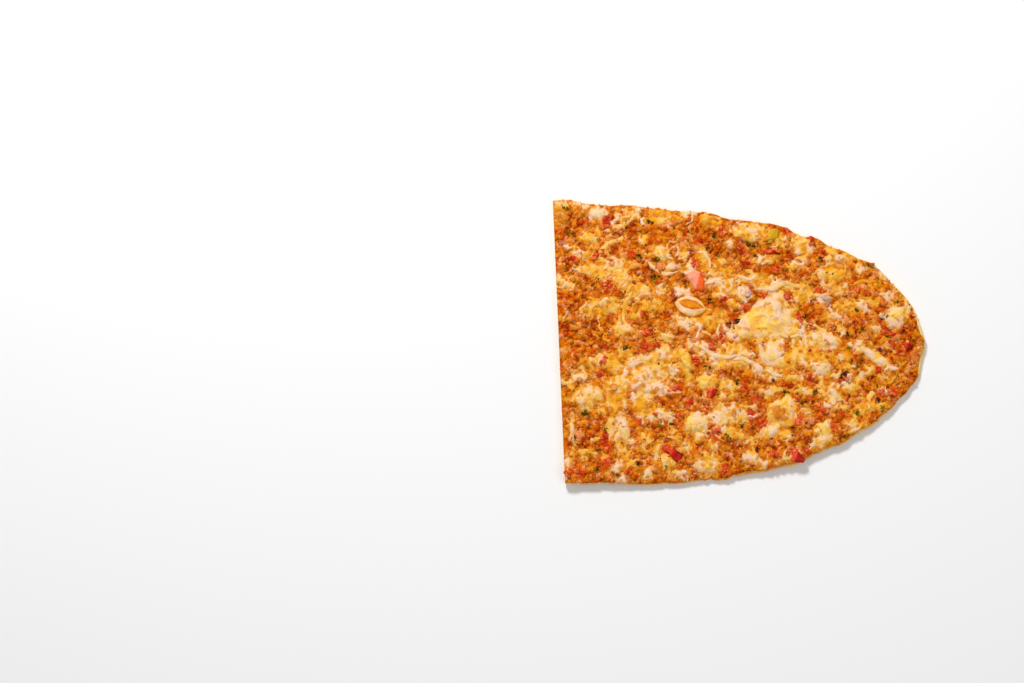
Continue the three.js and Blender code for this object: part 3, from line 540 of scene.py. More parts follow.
def food_material(name, roughness, subsurface, bump, grain, mottle, glint):
    """A material that takes its colour from the piece's corners, broken up by fine noise.

    Where the piece's "cheese" value is 1, the noise is faint and the surface smoother."""
    material = bpy.data.materials.new(name)
    material.use_nodes = True
    nodes, links = material.node_tree.nodes, material.node_tree.links

    def fill(node, values):
        for socket, value in values.items():
            if isinstance(value, bpy.types.NodeSocket):
                links.new(value, node.inputs[socket])
            else:
                node.inputs[socket].default_value = value

    def add(kind, output, values, **settings):
        node = nodes.new("ShaderNode" + kind)
        for setting, value in settings.items():
            setattr(node, setting, value)
        fill(node, values)
        return node.outputs[output]

    def spread(source, low, high, to_low, to_high):
        return add("MapRange", "Result", {
            "Value": source, "From Min": low, "From Max": high, "To Min": to_low, "To Max": to_high})

    def combined(operation, first, second):
        return add("Math", "Value", {0: first, 1: second}, operation=operation)

    tint = add("Attribute", "Color", {}, attribute_name="tint")
    cheese = add("Attribute", "Fac", {}, attribute_name="cheese")
    places = add("TexCoord", "Object", {})
    fine = add("TexNoise", "Fac", {"Scale": 1 / (grain * MM), "Detail": 4, "Vector": places})
    wander = combined("MULTIPLY", spread(cheese, 0, 1, mottle, mottle * 0.35), spread(fine, 0.3, 0.7, -1, 1))
    shade = add("VectorMath", "Vector", {0: tint, "Scale": combined("ADD", wander, 1.0)}, operation="SCALE")
    worn = spread(fine, 0.35, 0.65, roughness - 0.1, roughness + 0.1)
    fill(nodes["Principled BSDF"], {
        "Base Color": shade,
        "Roughness": combined("SUBTRACT", worn, spread(cheese, 0, 1, 0.0, 0.25)),
        "Normal": add("Bump", "Normal", {"Strength": 0.6, "Distance": bump * MM, "Height": fine}),
        "Subsurface Weight": subsurface,
        "Subsurface Radius": (1.0, 0.6, 0.35),
        "Subsurface Scale": 1.5 * MM,
        "Specular IOR Level": glint,
        "Specular Tint": (1.0, 0.6, 0.22, 1),
    })
    return material


def blurred(field, reach):
    """The field averaged over a square that reaches so many millimetres each way, three times over."""
    cells = round(reach / STEP)
    width = 2 * cells + 1
    # Each pass averages down the columns and then swaps columns and rows
    for _ in range(6):
        run = np.cumsum(np.pad(field, [(cells + 1, cells), (0, 0)], mode="edge"), axis=0)
        field = ((run[width:] - run[:-width]) / width).T
    return field


def crumb_field(x, y, pitch, radius, height, layer):
    """Heights and tints of crumbs of one size, one to each cell of an uneven grid."""
    best, tint = np.zeros_like(x), np.full_like(x, 0.5)
    i, j = np.floor(x / pitch), np.floor(y / pitch)
    ragged = 1 + 0.45 * noise(x, y, layer + 20, radius * 0.7)
    for a, b in ((i + di, j + dj) for di in (-1, 0, 1) for dj in (-1, 0, 1)):
        draws = [hashed(a, b, layer + k) for k in range(7)]
        dx = x - (a + 0.5 + 0.9 * (draws[0] - 0.5)) * pitch
        dy = y - (b + 0.5 + 0.9 * (draws[1] - 0.5)) * pitch
        size = radius * (0.6 + 0.5 * draws[2])
        slim = 0.6 + 0.4 * draws[3]
        c, s = np.cos(draws[4] * math.pi), np.sin(draws[4] * math.pi)
        out = ((dx * c + dy * s) / size) ** 2 + ((dy * c - dx * s) / (size * slim)) ** 2
        top = height * (0.45 + 0.55 * draws[5]) * np.clip(1 - out * ragged, 0, 1) ** 0.7
        tint = np.where(top > best, draws[6], tint)
        best = np.maximum(best, top)
    return best, tint


def cheese_fields(x, y):
    """How far inside the melted cheese each place is, in millimetres, and the cheese's tone."""
    x, y = warped(x, y, 31, (1.6, 7), (0.8, 2.6))
    depth = np.full_like(x, -9.0)
    weight = np.full_like(x, 1e-3)
    total = weight * 0.5
    for oval in FILM:
        inside = (1 - outness(x, y, oval)) * min(oval[2:4]) / 2
        depth = np.maximum(depth, inside)
        share = smooth(-1.5, 1.5, inside)
        weight += share
        total += share * oval[5]
    return depth, total / weight


def dark_meat(x, y):
    """The share of darker meat at places."""
    return np.max([smooth(1.3, 0.5, outness(x, y, oval)) for oval in DARK_MEAT], axis=0)


def shreds(x, y, weight):
    """Short curved shreds of melted cheese: for each its points, its widest radius and its tone."""
    random = np.random.default_rng(seed=53)
    chosen = np.flatnonzero(random.uniform(size=weight.size) < weight.ravel() * 0.05)
    chosen = random.permutation(chosen)[:SHRED_COUNT]
    made = []
    for px, py in zip(x.ravel()[chosen], y.ravel()[chosen]):
        grain = 2.6 * noise(px, py, 55, 45)
        bend = random.normal() * 0.45
        reach = mix(2.5, 7, random.uniform() ** 1.5)
        steps = np.linspace(-1, 1, 7)
        heading = grain + random.normal() * 0.7 + bend * steps
        points = np.stack([
            px + reach * steps * np.cos(heading), py + reach * steps * np.sin(heading)], axis=-1)
        made.append((points, random.uniform(0.7, 1.5), random.uniform(0.05, 0.65)))
    return made


def veins(x, y):
    """Meandering veins of thicker cheese: 1 along a vein, towards 0 in the pools between them."""
    x, y = warped(x, y, 81, (1.3, 3.5))
    wide = 1 - np.abs(noises(x, y, (1, 83, 6.0), (0.35, 84, 2.4)))
    fine = 1 - np.abs(noises(x, y, (1, 85, 3.0), (0.35, 86, 1.5)))
    return np.maximum(wide, 0.92 * fine)


class Ground:
    """The topping's surface on a grid, and its height and colour at any place."""

    def __init__(self):
        low, high = (np.array(corner[:2]) / MM - SHIFT for corner in cad_box)
        self.start = low - 2 * STEP
        x, y = np.meshgrid(*(np.arange(a, b + 2 * STEP, STEP) for a, b in zip(self.start, high)))
        self.x, self.y = x, y
        edge, self.crust = around(x, y)
        bare = np.maximum(
            smooth(225, 242, x) * smooth(40, 10, np.abs(y)), smooth(95, 125, x) * smooth(-40, -60, y))
        width = EDGE_WIDTH + noises(x, y, (EDGE_WIDTH_SWING, 5, 9), (0.3, 6, 2.5)) + BARE_CRUST * bare
        self.edge = edge - np.clip(width, 0.1, None) * mix(0.15, 1, self.crust)
        self.from_edge = self.edge - from_centre(x, y)
        self.bed = DOUGH + GAP + lift(x, y)
        self.dark = dark_meat(x, y)
        crumbs, tint = self.crumbs()
        near_edge = smooth(EDGE_TAPER, 0, self.from_edge) * self.crust
        body = (blurred(self.solid_height(), 1.0) - self.bed) * mix(1, 0.45, near_edge)
        meat = self.bed + np.maximum(THINNEST_MEAT, body + crumbs * mix(1, 0.6, near_edge))

        depth, tone = cheese_fields(x, y)
        rich = smooth(-4.5, 1.0, depth)
        vein = veins(x, y)
        strand, strand_tone = self.stamped(shreds(x, y, (self.from_edge > 1) * mix(
            mix(0.16, 0.03, self.dark), 1, smooth(-2.5, 1, depth))))
        lace = smooth(0.1, 0.45, 0.75 * rich + 0.35 * noise(x, y, 47, 12) - 0.5 * self.dark)
        lace = lace * smooth(0.7, 0.93, vein)
        hold = mix(3.0, 1.0, smooth(0.1, 0.45, tone))
        broken = 1.5 * noise(x, y, 41, 2.6) + 1.9 * fractal(x, y, 42, 6)
        patch = smooth(-0.9, 0.9, np.minimum(1.2 * depth, hold) + 0.2 + broken)
        cover = np.maximum(np.maximum(patch, 0.85 * lace), smooth(0.05, 0.5, strand))
        thick = 0.15 + 0.65 * smooth(0, 3.5, depth) * patch + 0.4 * smooth(0.45, 0.9, vein) * cover
        film = blurred(meat, 1.6) + (thick + 0.5 * strand + 0.1) * cover - 0.9 * (1 - cover)
        film = film + 0.14 * noise(x, y, 48, 1.7) + 0.2 * fractal(x, y, 49, 4.5) * cover
        self.share = smooth(-0.45, 0.45, film - meat)
        self.height = np.maximum(meat, film)
        self.smooth_height = blurred(self.height, 1.3)

        pools = smooth(0.8, 0.35, vein) * (1 - smooth(0, 0.3, strand))
        tone = 0.7 * mix(tone, strand_tone, smooth(0.1, 0.5, strand)) - 0.08
        tone = tone + 0.42 * pools * mix(1, 0.6, smooth(1, 4, depth))
        veil = 0.7 * rich * smooth(-0.6, 0.3, fractal(x, y, 51, 7)) * (1 - 0.6 * self.dark)
        cheese = self.cheese_colours(tone), self.share * mix(0.93, 0.5, pools)
        self.colour = painted(self.meat_colours(meat, tint, veil), cheese)

    def window(self, low, high):
        """The part of the grid from one corner to another."""
        low = np.maximum(np.floor((low - self.start) / STEP).astype(int), 0)
        high = np.ceil((high - self.start) / STEP).astype(int)
        return slice(low[1], high[1]), slice(low[0], high[0])

    def stamped(self, curves):
        """Curves pressed into the grid as rounded ridges: their height from 0 to 1, and their tone."""
        ridge, tone = np.zeros_like(self.x), np.zeros_like(self.x)
        moved_x, moved_y = warped(self.x, self.y, 57, (1.3, 3.2))
        for points, radius, shade in curves:
            room = radius + 1.5
            part = self.window(points.min(axis=0) - room, points.max(axis=0) + room + STEP)
            x, y = moved_x[part], moved_y[part]
            best = np.zeros_like(x)
            for n in range(len(points) - 1):
                start, run = points[n], points[n + 1] - points[n]
                along = np.clip(((x - start[0]) * run[0] + (y - start[1]) * run[1]) / (run @ run), 0, 1)
                out = np.hypot(x - start[0] - along * run[0], y - start[1] - along * run[1])
                place = (n + along) / (len(points) - 1)
                width = radius * np.sqrt(np.clip(1.02 - (2 * place - 1) ** 2, 0, 1))
                width = width * (1 + 0.5 * noise(x, y, 56, 2.4))
                best = np.maximum(best, np.sqrt(np.clip(1 - (out / np.maximum(width, 0.1)) ** 2, 0, 1)))
            tone[part] = np.where(best * radius > ridge[part], shade, tone[part])
            ridge[part] = np.maximum(ridge[part], best * radius)
        return np.clip(ridge, 0, 1), tone

    def crumbs(self):
        """Fine crumbs of meat in three sizes: their relief about the mean, and a tint for each crumb."""
        wx, wy = warped(self.x, self.y, 11, (0.95, 1.9), (0.45, 1.0))
        heights, tints = [], []
        for pitch, radius, height, layer, raised in CRUMB_FIELDS:
            field, tint = crumb_field(wx, wy, pitch, radius, height, layer)
            heights.append(field + raised)
            tints.append(tint)
        tint = np.take_along_axis(np.array(tints), np.argmax(heights, axis=0)[None], axis=0)[0]
        crumbs = np.max(heights, axis=0)
        crumbs = crumbs + 0.2 * noise(self.x, self.y, 15, 1.0) + 0.5 * fractal(self.x, self.y, 16, 8)
        return crumbs - blurred(crumbs, 4.5), tint

    def solid_height(self):
        """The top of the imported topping, straight above each place."""
        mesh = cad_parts["topping"].data
        mesh.calc_loop_triangles()
        tree = BVHTree.FromPolygons(
            [v.co.copy() for v in mesh.vertices], [tuple(t.vertices) for t in mesh.loop_triangles])
        low = self.bed + THINNEST_TOPPING
        heights = low.copy()
        inside = np.argwhere(self.from_edge > -1)
        spots = placed(np.stack([self.x, self.y, self.bed], axis=-1)[inside[:, 0], inside[:, 1]])
        for (row, column), spot in zip(inside, spots):
            above = Vector((spot[0], spot[1], cad_box[1][2] + MM))
            hit = tree.ray_cast(above, Vector((0, 0, -1)))[0]
            if hit is not None:
                heights[row, column] = max(low[row, column], hit.z / MM)
        return heights

    def meat_colours(self, meat, tint, veil):
        """The meat's colour at each place: crumbs with painted shade in the gaps between them, oil, and
        juice round bits.
        """
        x, y = self.x, self.y
        hue = fractal(x, y, 71, 5) + 0.9 * (tint * 7 % 1 - 0.5)
        grain = noises(x, y, (0.22, 76, 1.3), (0.18, 77, 3.2))
        shade = 0.5 + 0.8 * (tint - 0.5) + grain + 0.2 * fractal(x, y, 61, 14) - 0.03 * self.dark
        # Where the meat lies lower than round about, between its crumbs, it is darkened with painted shade
        colour = painted(
            ramp(MEAT_TONES, shade), (RUSSET, 0.55 * smooth(0.2, 0.75, hue)),
            (GOLD, 0.6 * smooth(-0.15, -0.7, hue)), (PINKISH, 0.6 * smooth(0.9, 0.96, tint * 13 % 1)),
            (MEAT_GAP_SHADE, 0.88 * smooth(-0.1, -0.75, meat - blurred(meat, 1.7))), (GLAZE, veil))
        for ovals, stain, strength, wider in ((RED_BITS, JUICE, 0.7, 1.5), (HERBS, OLIVE, 0.6, 0.8)):
            for oval in ovals:
                middle, reach = np.array(oval[:2]), (max(oval[2:4]) / 2 + wider) * 1.3
                part = self.window(middle - reach, middle + reach)
                out = outness(x[part], y[part], oval, wider) + 0.35 * noise(x[part], y[part], 72, 1.6)
                colour[part] = painted(colour[part], (stain, strength * smooth(1.2, 0.5, out)))
        return colour

    def cheese_colours(self, tone):
        """The cheese's colour at each place, with yolk-yellow patches, browned blisters and spots."""
        x, y = self.x, self.y
        # The tone runs more golden where the cheese lies lower than round about: painted warm shade in its
        # hollows
        hollow_shade = smooth(0.05, -0.35, self.height - self.smooth_height)
        tone_and_shading = tone + 0.5 * fractal(x, y, 62, 5.0) + 0.05 + 0.25 * hollow_shade
        yellow = smooth(-0.3, 0.3, noises(x, y, (1, 73, 5), (0.5, 74, 2.2))) * smooth(0.0, 0.25, tone_and_shading)
        cheese = painted(ramp(CHEESE_TONES, tone_and_shading), (YOLK, 0.55 * yellow))
        for bx, by, width in BLISTERS:
            out = np.hypot(x - bx, y - by) / (width / 2) + 0.25 * noise(x, y, 63, 1.5)
            ring = smooth(1.25, 0.9, out) * mix(0.45, 1, smooth(0.3, 0.8, out))
            cheese = painted(cheese, (BLISTER, 0.9 * ring))
        cell = np.floor(x / SPOT_PITCH), np.floor(y / SPOT_PITCH)
        spot_x, spot_y = (
            (cell[k] + 0.2 + 0.6 * hashed(*cell, 64 + k)) * SPOT_PITCH for k in range(2))
        size = 0.6 + 1.3 * hashed(*cell, 66) ** 2
        out = np.hypot(x - spot_x, y - spot_y) / size + 0.35 * noise(x, y, 67, 1.2)
        return painted(cheese, (SPOT, 0.85 * smooth(1.5, 0.6, out) * (hashed(*cell, 68) > 0.5)))

    def at(self, field, x, y):
        """The field's value at any places, between its grid's corners."""
        u = np.clip((np.asarray(x, float) - self.start[0]) / STEP, 0, self.x.shape[1] - 1.001)
        v = np.clip((np.asarray(y, float) - self.start[1]) / STEP, 0, self.x.shape[0] - 1.001)
        i, j = u.astype(int), v.astype(int)
        fu, fv = u - i, v - j
        if field.ndim == 3:
            fu, fv = fu[:, None], fv[:, None]
        low = mix(field[j, i], field[j, i + 1], fu)
        high = mix(field[j + 1, i], field[j + 1, i + 1], fu)
        return mix(low, high, fv)


def border(quads, count):
    """The longest closed border of a sheet of quads, as corner numbers in order."""
    heads = quads.ravel()
    tails = np.roll(quads, -1, axis=1).ravel()
    rim = ~np.isin(heads * count + tails, tails * count + heads)
    following = {}
    for head, tail in zip(heads[rim].tolist(), tails[rim].tolist()):
        following.setdefault(head, []).append(tail)
    longest = []
    while following:
        loop = [next(iter(following))]
        while loop[-1] in following:
            ways = following[loop[-1]]
            onward = ways.pop()
            if not ways:
                del following[loop[-1]]
            loop.append(onward)
        longest = max(longest, loop[:-1], key=len)
    return np.array(longest)


def squares(grid):
    """The values at the four corners of each square of a grid."""
    return np.stack([grid[:-1, :-1], grid[:-1, 1:], grid[1:, 1:], grid[1:, :-1]], axis=-1)


def topping_piece(ground, material):
    """The meat and melted cheese: the grid inside the topping's edge, walls round it and a floor."""
    mask = blurred((ground.from_edge > 0).astype(float), STEP) > 0.5
    index = np.arange(mask.size).reshape(mask.shape)
    used, quads = np.unique(squares(index)[squares(mask).all(axis=-1)], return_inverse=True)
    quads = quads.reshape(-1, 4)
    loop = border(quads, len(used))
    x, y, z, edge, cheese = (
        field.ravel()[used] for field in (ground.x, ground.y, ground.height, ground.edge, ground.share))
    colours = ground.colour.reshape(-1, 3)[used]
    x[loop], y[loop] = pulled(x[loop], y[loop], edge[loop] / from_centre(x[loop], y[loop]))
    rim_x, rim_y = x[loop], y[loop]
    corners, shades, shares, rings = [np.stack([x, y, z], axis=-1)], [colours], [cheese], [loop]
    for row in range(1, WALL_ROWS + 1):
        down = row / WALL_ROWS
        inset = 0.25 * noise(rim_x, rim_y, 70 + row, 1.3) * (row < WALL_ROWS) + 0.3 * down
        wall_x, wall_y = pulled(rim_x, rim_y, 1 - inset / from_centre(rim_x, rim_y))
        level = mix(z[loop], DOUGH - TOPPING_SINK + lift(rim_x, rim_y), down)
        tone = ramp(MEAT_TONES, 0.5 + 0.4 * noise(rim_x, rim_y + row * 3, 75, 1.6))
        corners.append(np.stack([wall_x, wall_y, level], axis=-1))
        shades.append(mix(colours[loop], tone, smooth(0.1, 0.5, down)))
        shares.append(cheese[loop] * (1 - down))
        rings.append(len(used) + (row - 1) * len(loop) + np.arange(len(loop)))
    faces = quads.tolist() + turned_over(walls(rings)) + fan(rings[-1][-1] + 1, rings[-1][::-1])
    piece = add_piece(
        "meat_and_cheese", np.concatenate(corners + [[[*CENTRE, DOUGH - TOPPING_SINK]]]), faces,
        np.concatenate(shades + [[MEAT_GAP_SHADE]]), material, np.concatenate(shares + [[0]]))
    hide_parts("topping")


def unit_ball(subdivisions):
    """Corners and triangles of a ball of radius 1."""
    ball = bmesh.new()
    bmesh.ops.create_icosphere(ball, subdivisions=subdivisions, radius=1)
    corners = np.array([v.co[:] for v in ball.verts])
    faces = np.array([[v.index for v in f.verts] for f in ball.faces])
    ball.free()
    return corners, faces


def slab(subdivisions):
    """Corners and triangles of a flat round cake with a rounded edge, of radius 1 and height 2."""
    corners, faces = unit_ball(subdivisions)
    out = np.hypot(corners[:, 0], corners[:, 1])
    corners[:, :2] *= (np.maximum(out, 1e-6) ** -0.4)[:, None]
    corners[:, 2] = np.sign(corners[:, 2]) * np.sqrt(np.clip(1 - out ** 5, 0, 1))
    return corners, faces


def rotations(yaw, tilt, spin):
    """Turning matrices: a spin about the long axis, a tilt of it, and a yaw about the vertical."""
    def about(axis, angle):
        matrix = np.zeros((len(angle), 3, 3))
        a, b = [k for k in range(3) if k != axis]
        matrix[:, axis, axis] = 1
        matrix[:, a, a] = matrix[:, b, b] = np.cos(angle)
        matrix[:, b, a] = np.sin(angle)
        matrix[:, a, b] = -matrix[:, b, a]
        return matrix
    return about(2, yaw) @ about(1, tilt) @ about(0, spin)


def joined(name, ground, shape, sizes, turns, places, shades, random, material, upright=False):
    """Many uneven bits of one kind as one mesh, each cut by flat sides of its own, upright ones if asked."""
    tones_along, soaked, mottled, uneven, flats = LOOSE_KINDS[name]
    corners, triangles = shape
    count = len(shades)
    waves = random.normal(size=(count, 3, 3)) * 1.9
    phases = random.uniform(0, 2 * math.pi, size=(count, 3, 1))
    swell = 1 + uneven * np.sin(waves @ corners.T + phases).sum(axis=1) / 1.7
    normals = random.normal(size=(count, flats, 3))
    if upright:
        normals[..., 2] = 0
    normals /= np.linalg.norm(normals, axis=2, keepdims=True)
    depths = random.uniform(0.45, 0.95, size=(count, flats, 1))
    reach = np.minimum((depths / np.maximum(normals @ corners.T, 0.05)).min(axis=1), 1.0)
    cut = reach[..., None] * np.ones(3)
    if upright:
        cut[..., 2] = 1
    local = corners[None] * swell[..., None] * cut
    local = local / np.abs(local).max(axis=1, keepdims=True) * np.stack(sizes, axis=-1)[:, None]
    world = np.einsum("nij,nvj->nvi", turns, local) + np.stack(places, axis=-1)[:, None]
    faces = (triangles[None] + (np.arange(count) * len(corners))[:, None, None]).reshape(-1, 3)
    world = world.reshape(-1, 3)
    x, y = world[:, 0], world[:, 1]
    patchy = noises(x, y, (0.4, 154, 1.5), (0.25, 155, 0.7))
    colours = ramp(tones_along, np.repeat(shades, len(corners)) + mottled * patchy)
    colours = mix(colours, ground.at(ground.colour, x, y), soaked)
    add_piece(name, world, faces.tolist(), colours, material)


def scattered(ground, count, seed, keep):
    """Random places inside the topping's edge and off the lumps of cheese that a rule keeps."""
    random = np.random.default_rng(seed)
    x = random.uniform(ground.x.min(), ground.x.max(), count * 6)
    y = random.uniform(ground.y.min(), ground.y.max(), count * 6)
    free = ground.at(ground.from_edge, x, y) > mix(0.9, 0.2, ground.at(ground.crust, x, y))
    for lump in LUMPS:
        free &= outness(x, y, lump, 0.5) >= 1
    x, y = x[free], y[free]
    chosen = random.uniform(size=len(x)) < keep(x, y)
    return x[chosen][:count], y[chosen][:count], random


def meat_crumbs(ground, material):
    """Loose crumbs of meat that stand proud of the topping."""
    x, y, random = scattered(
        ground, CRUMB_COUNT, seed=11,
        keep=lambda x, y: np.maximum(
            mix(0.9, 0.03, ground.at(ground.share, x, y)) * mix(0.7, 1, dark_meat(x, y)),
            0.8 * smooth(2.5, 1.0, ground.at(ground.from_edge, x, y)) * (y > 20)))
    count = len(x)
    length = mix(0.9, 3.5, random.uniform(size=count) ** 1.6)
    length = np.minimum(length, mix(0.4, 1.6, smooth(0, 30, y)) + ground.at(ground.from_edge, x, y))
    sizes = length, length * random.uniform(0.55, 0.9, count), length * random.uniform(0.4, 0.65, count)
    turns = rotations(
        random.uniform(0, 2 * math.pi, count), random.normal(size=count) * 0.4,
        random.uniform(0, 6.28, count))
    z = ground.at(ground.smooth_height, x, y) - 0.2 * length
    shades = 0.55 * random.uniform(0, 1, count) + 0.45 * np.clip(0.5 + 0.6 * noise(x, y, 156, 4.5), 0, 1)
    joined(
        "meat_crumbs", ground, unit_ball(2), sizes, turns, (x, y, z), shades, random, material)


def herb_flecks(ground, material):
    """Small chopped leaves, mostly dark, all over the meat."""
    x, y, random = scattered(
        ground, FLECK_COUNT, seed=23,
        keep=lambda x, y: (
            mix(1, 0.04, ground.at(ground.share, x, y)) * smooth(-0.3, 0.5, noise(x, y, 160, 8))))
    count = len(x)
    length = mix(0.45, 1.3, random.uniform(size=count) ** 1.5)
    sizes = length, length * random.uniform(0.4, 0.8, count), length * 0.22
    turns = rotations(
        random.uniform(0, 6.28, count), random.normal(size=count) * 0.3, random.normal(size=count) * 0.3)
    z = ground.at(ground.height, x, y) + 0.02
    shades = mix(-0.1, 0.95, random.uniform(size=count))
    joined(
        "herb_flecks", ground, unit_ball(2), sizes, turns, (x, y, z), shades, random, material)


def flat_bits(name, ground, rows, material, thick, seed):
    """Flat chopped pieces from rows of middle, length, width, turn in degrees and shade."""
    random = np.random.default_rng(seed)
    x, y, length, width, turn, shade = np.array(rows, float).T
    count = len(rows)
    tall = thick * random.uniform(0.7, 1.2, count)
    turns = rotations(np.radians(turn), random.normal(size=count) * 0.12, random.normal(size=count) * 0.15)
    z = ground.at(np.maximum(ground.smooth_height, ground.height), x, y) + 0.3 * tall
    sizes = length / 2, width / 2, tall / 2
    joined(
        name, ground, slab(subdivisions=3), sizes, turns, (x, y, z), shade, random, material,
        upright=True)


def clusters(listed, room, smallest, largest, seed):
    """Each listed place as a cluster of smaller bits, in rows like the listed ones.

    A bit takes up a given room in square millimetres."""
    random = np.random.default_rng(seed)
    rows = []
    for px, py, length, width, turn, shade in listed:
        for _ in range(max(2, round(length * width / room))):
            out, bearing = math.sqrt(random.uniform()) * 0.42, random.uniform(0, 2 * math.pi)
            dx, dy = turned(length * out * math.cos(bearing), width * out * math.sin(bearing), -turn)
            size = random.uniform(smallest, largest)
            slim = random.uniform(0.45, 0.85)
            rows.append((
                px + dx, py + dy, size, size * slim, random.uniform(0, 180), shade + random.normal() * 0.22))
    return rows


def small_red_rows(ground):
    """Scattered crumbs of red pepper and tomato, as rows like those of the larger bits."""
    x, y, random = scattered(
        ground, SMALL_RED_COUNT, seed=61, keep=lambda x, y: mix(0.7, 0.12, ground.at(ground.share, x, y)))
    length = mix(1.0, 3.2, random.uniform(size=len(x)) ** 1.8)
    width = length * random.uniform(0.4, 0.85, len(x))
    turn = random.uniform(0, 180, len(x))
    return np.stack([x, y, length, width, turn, random.uniform(-0.1, 0.9, len(x))], axis=-1)


def strand_corners(ground, points, width, random):
    """Rings of corners of one flattened strand that lies on the topping, and how near each is to a side."""
    along = np.linspace(0, 1, STRAND_RINGS)
    knots = np.linspace(0, 1, len(points))
    x, y = (np.interp(along, knots, values) for values in np.transpose(points))
    x, y = warped(x, y, 156, (0.9, 4.5))
    for _ in range(2):
        for line in (x, y):
            line[1:-1] = (line[:-2] + 2 * line[1:-1] + line[2:]) / 4
    heading = np.arctan2(np.gradient(y), np.gradient(x))[:, None]
    half = 0.65 * width * np.clip(1 - (2 * along - 1) ** 4, 0.02, 1) ** 0.5
    half = half * (1 + 0.35 * noise(x, y, 158, 3) + random.normal(size=STRAND_RINGS) * 0.05)
    z = ground.at(ground.smooth_height, x, y) + 0.1 * noise(x, y, 159, 5) - 0.2
    turn = np.linspace(0, 2 * math.pi, STRAND_SIDES, endpoint=False)[None]
    across = np.cos(turn) * half[:, None]
    up = np.where(np.sin(turn) < -0.1, -0.9, np.sin(turn) * np.minimum(STRAND_RISE, half * 0.8)[:, None])
    up = up - 0.15 * np.cos(turn) ** 4
    corners = np.stack([
        x[:, None] - np.sin(heading) * across, y[:, None] + np.cos(heading) * across,
        z[:, None] + up], axis=-1)
    sides = np.repeat(np.abs(np.cos(turn)) ** 2, STRAND_RINGS, axis=0)
    return corners.reshape(-1, 3), sides.ravel()


def cheese_strands(ground, material):
    """The strands of cheese that can be told apart."""
    random = np.random.default_rng(seed=31)
    corners, faces, colours = [], [], []
    for number, (width, tone, points) in enumerate(STRANDS):
        more, sides = strand_corners(ground, points, width, random)
        rings = np.arange(len(more)).reshape(STRAND_RINGS, STRAND_SIDES) + number * len(more)
        faces += walls(rings) + [rings[0][::-1].tolist(), rings[-1].tolist()]
        own = ramp(CHEESE_TONES, tone + 0.25 * noise(more[:, 0], more[:, 1], 81, 2.5))
        below = ground.at(ground.colour, more[:, 0], more[:, 1])
        corners.append(more)
        colours.append(painted(own, (below, 0.08 + 0.45 * sides)))
    add_piece("cheese_strands", np.concatenate(corners), faces, np.concatenate(colours), material)


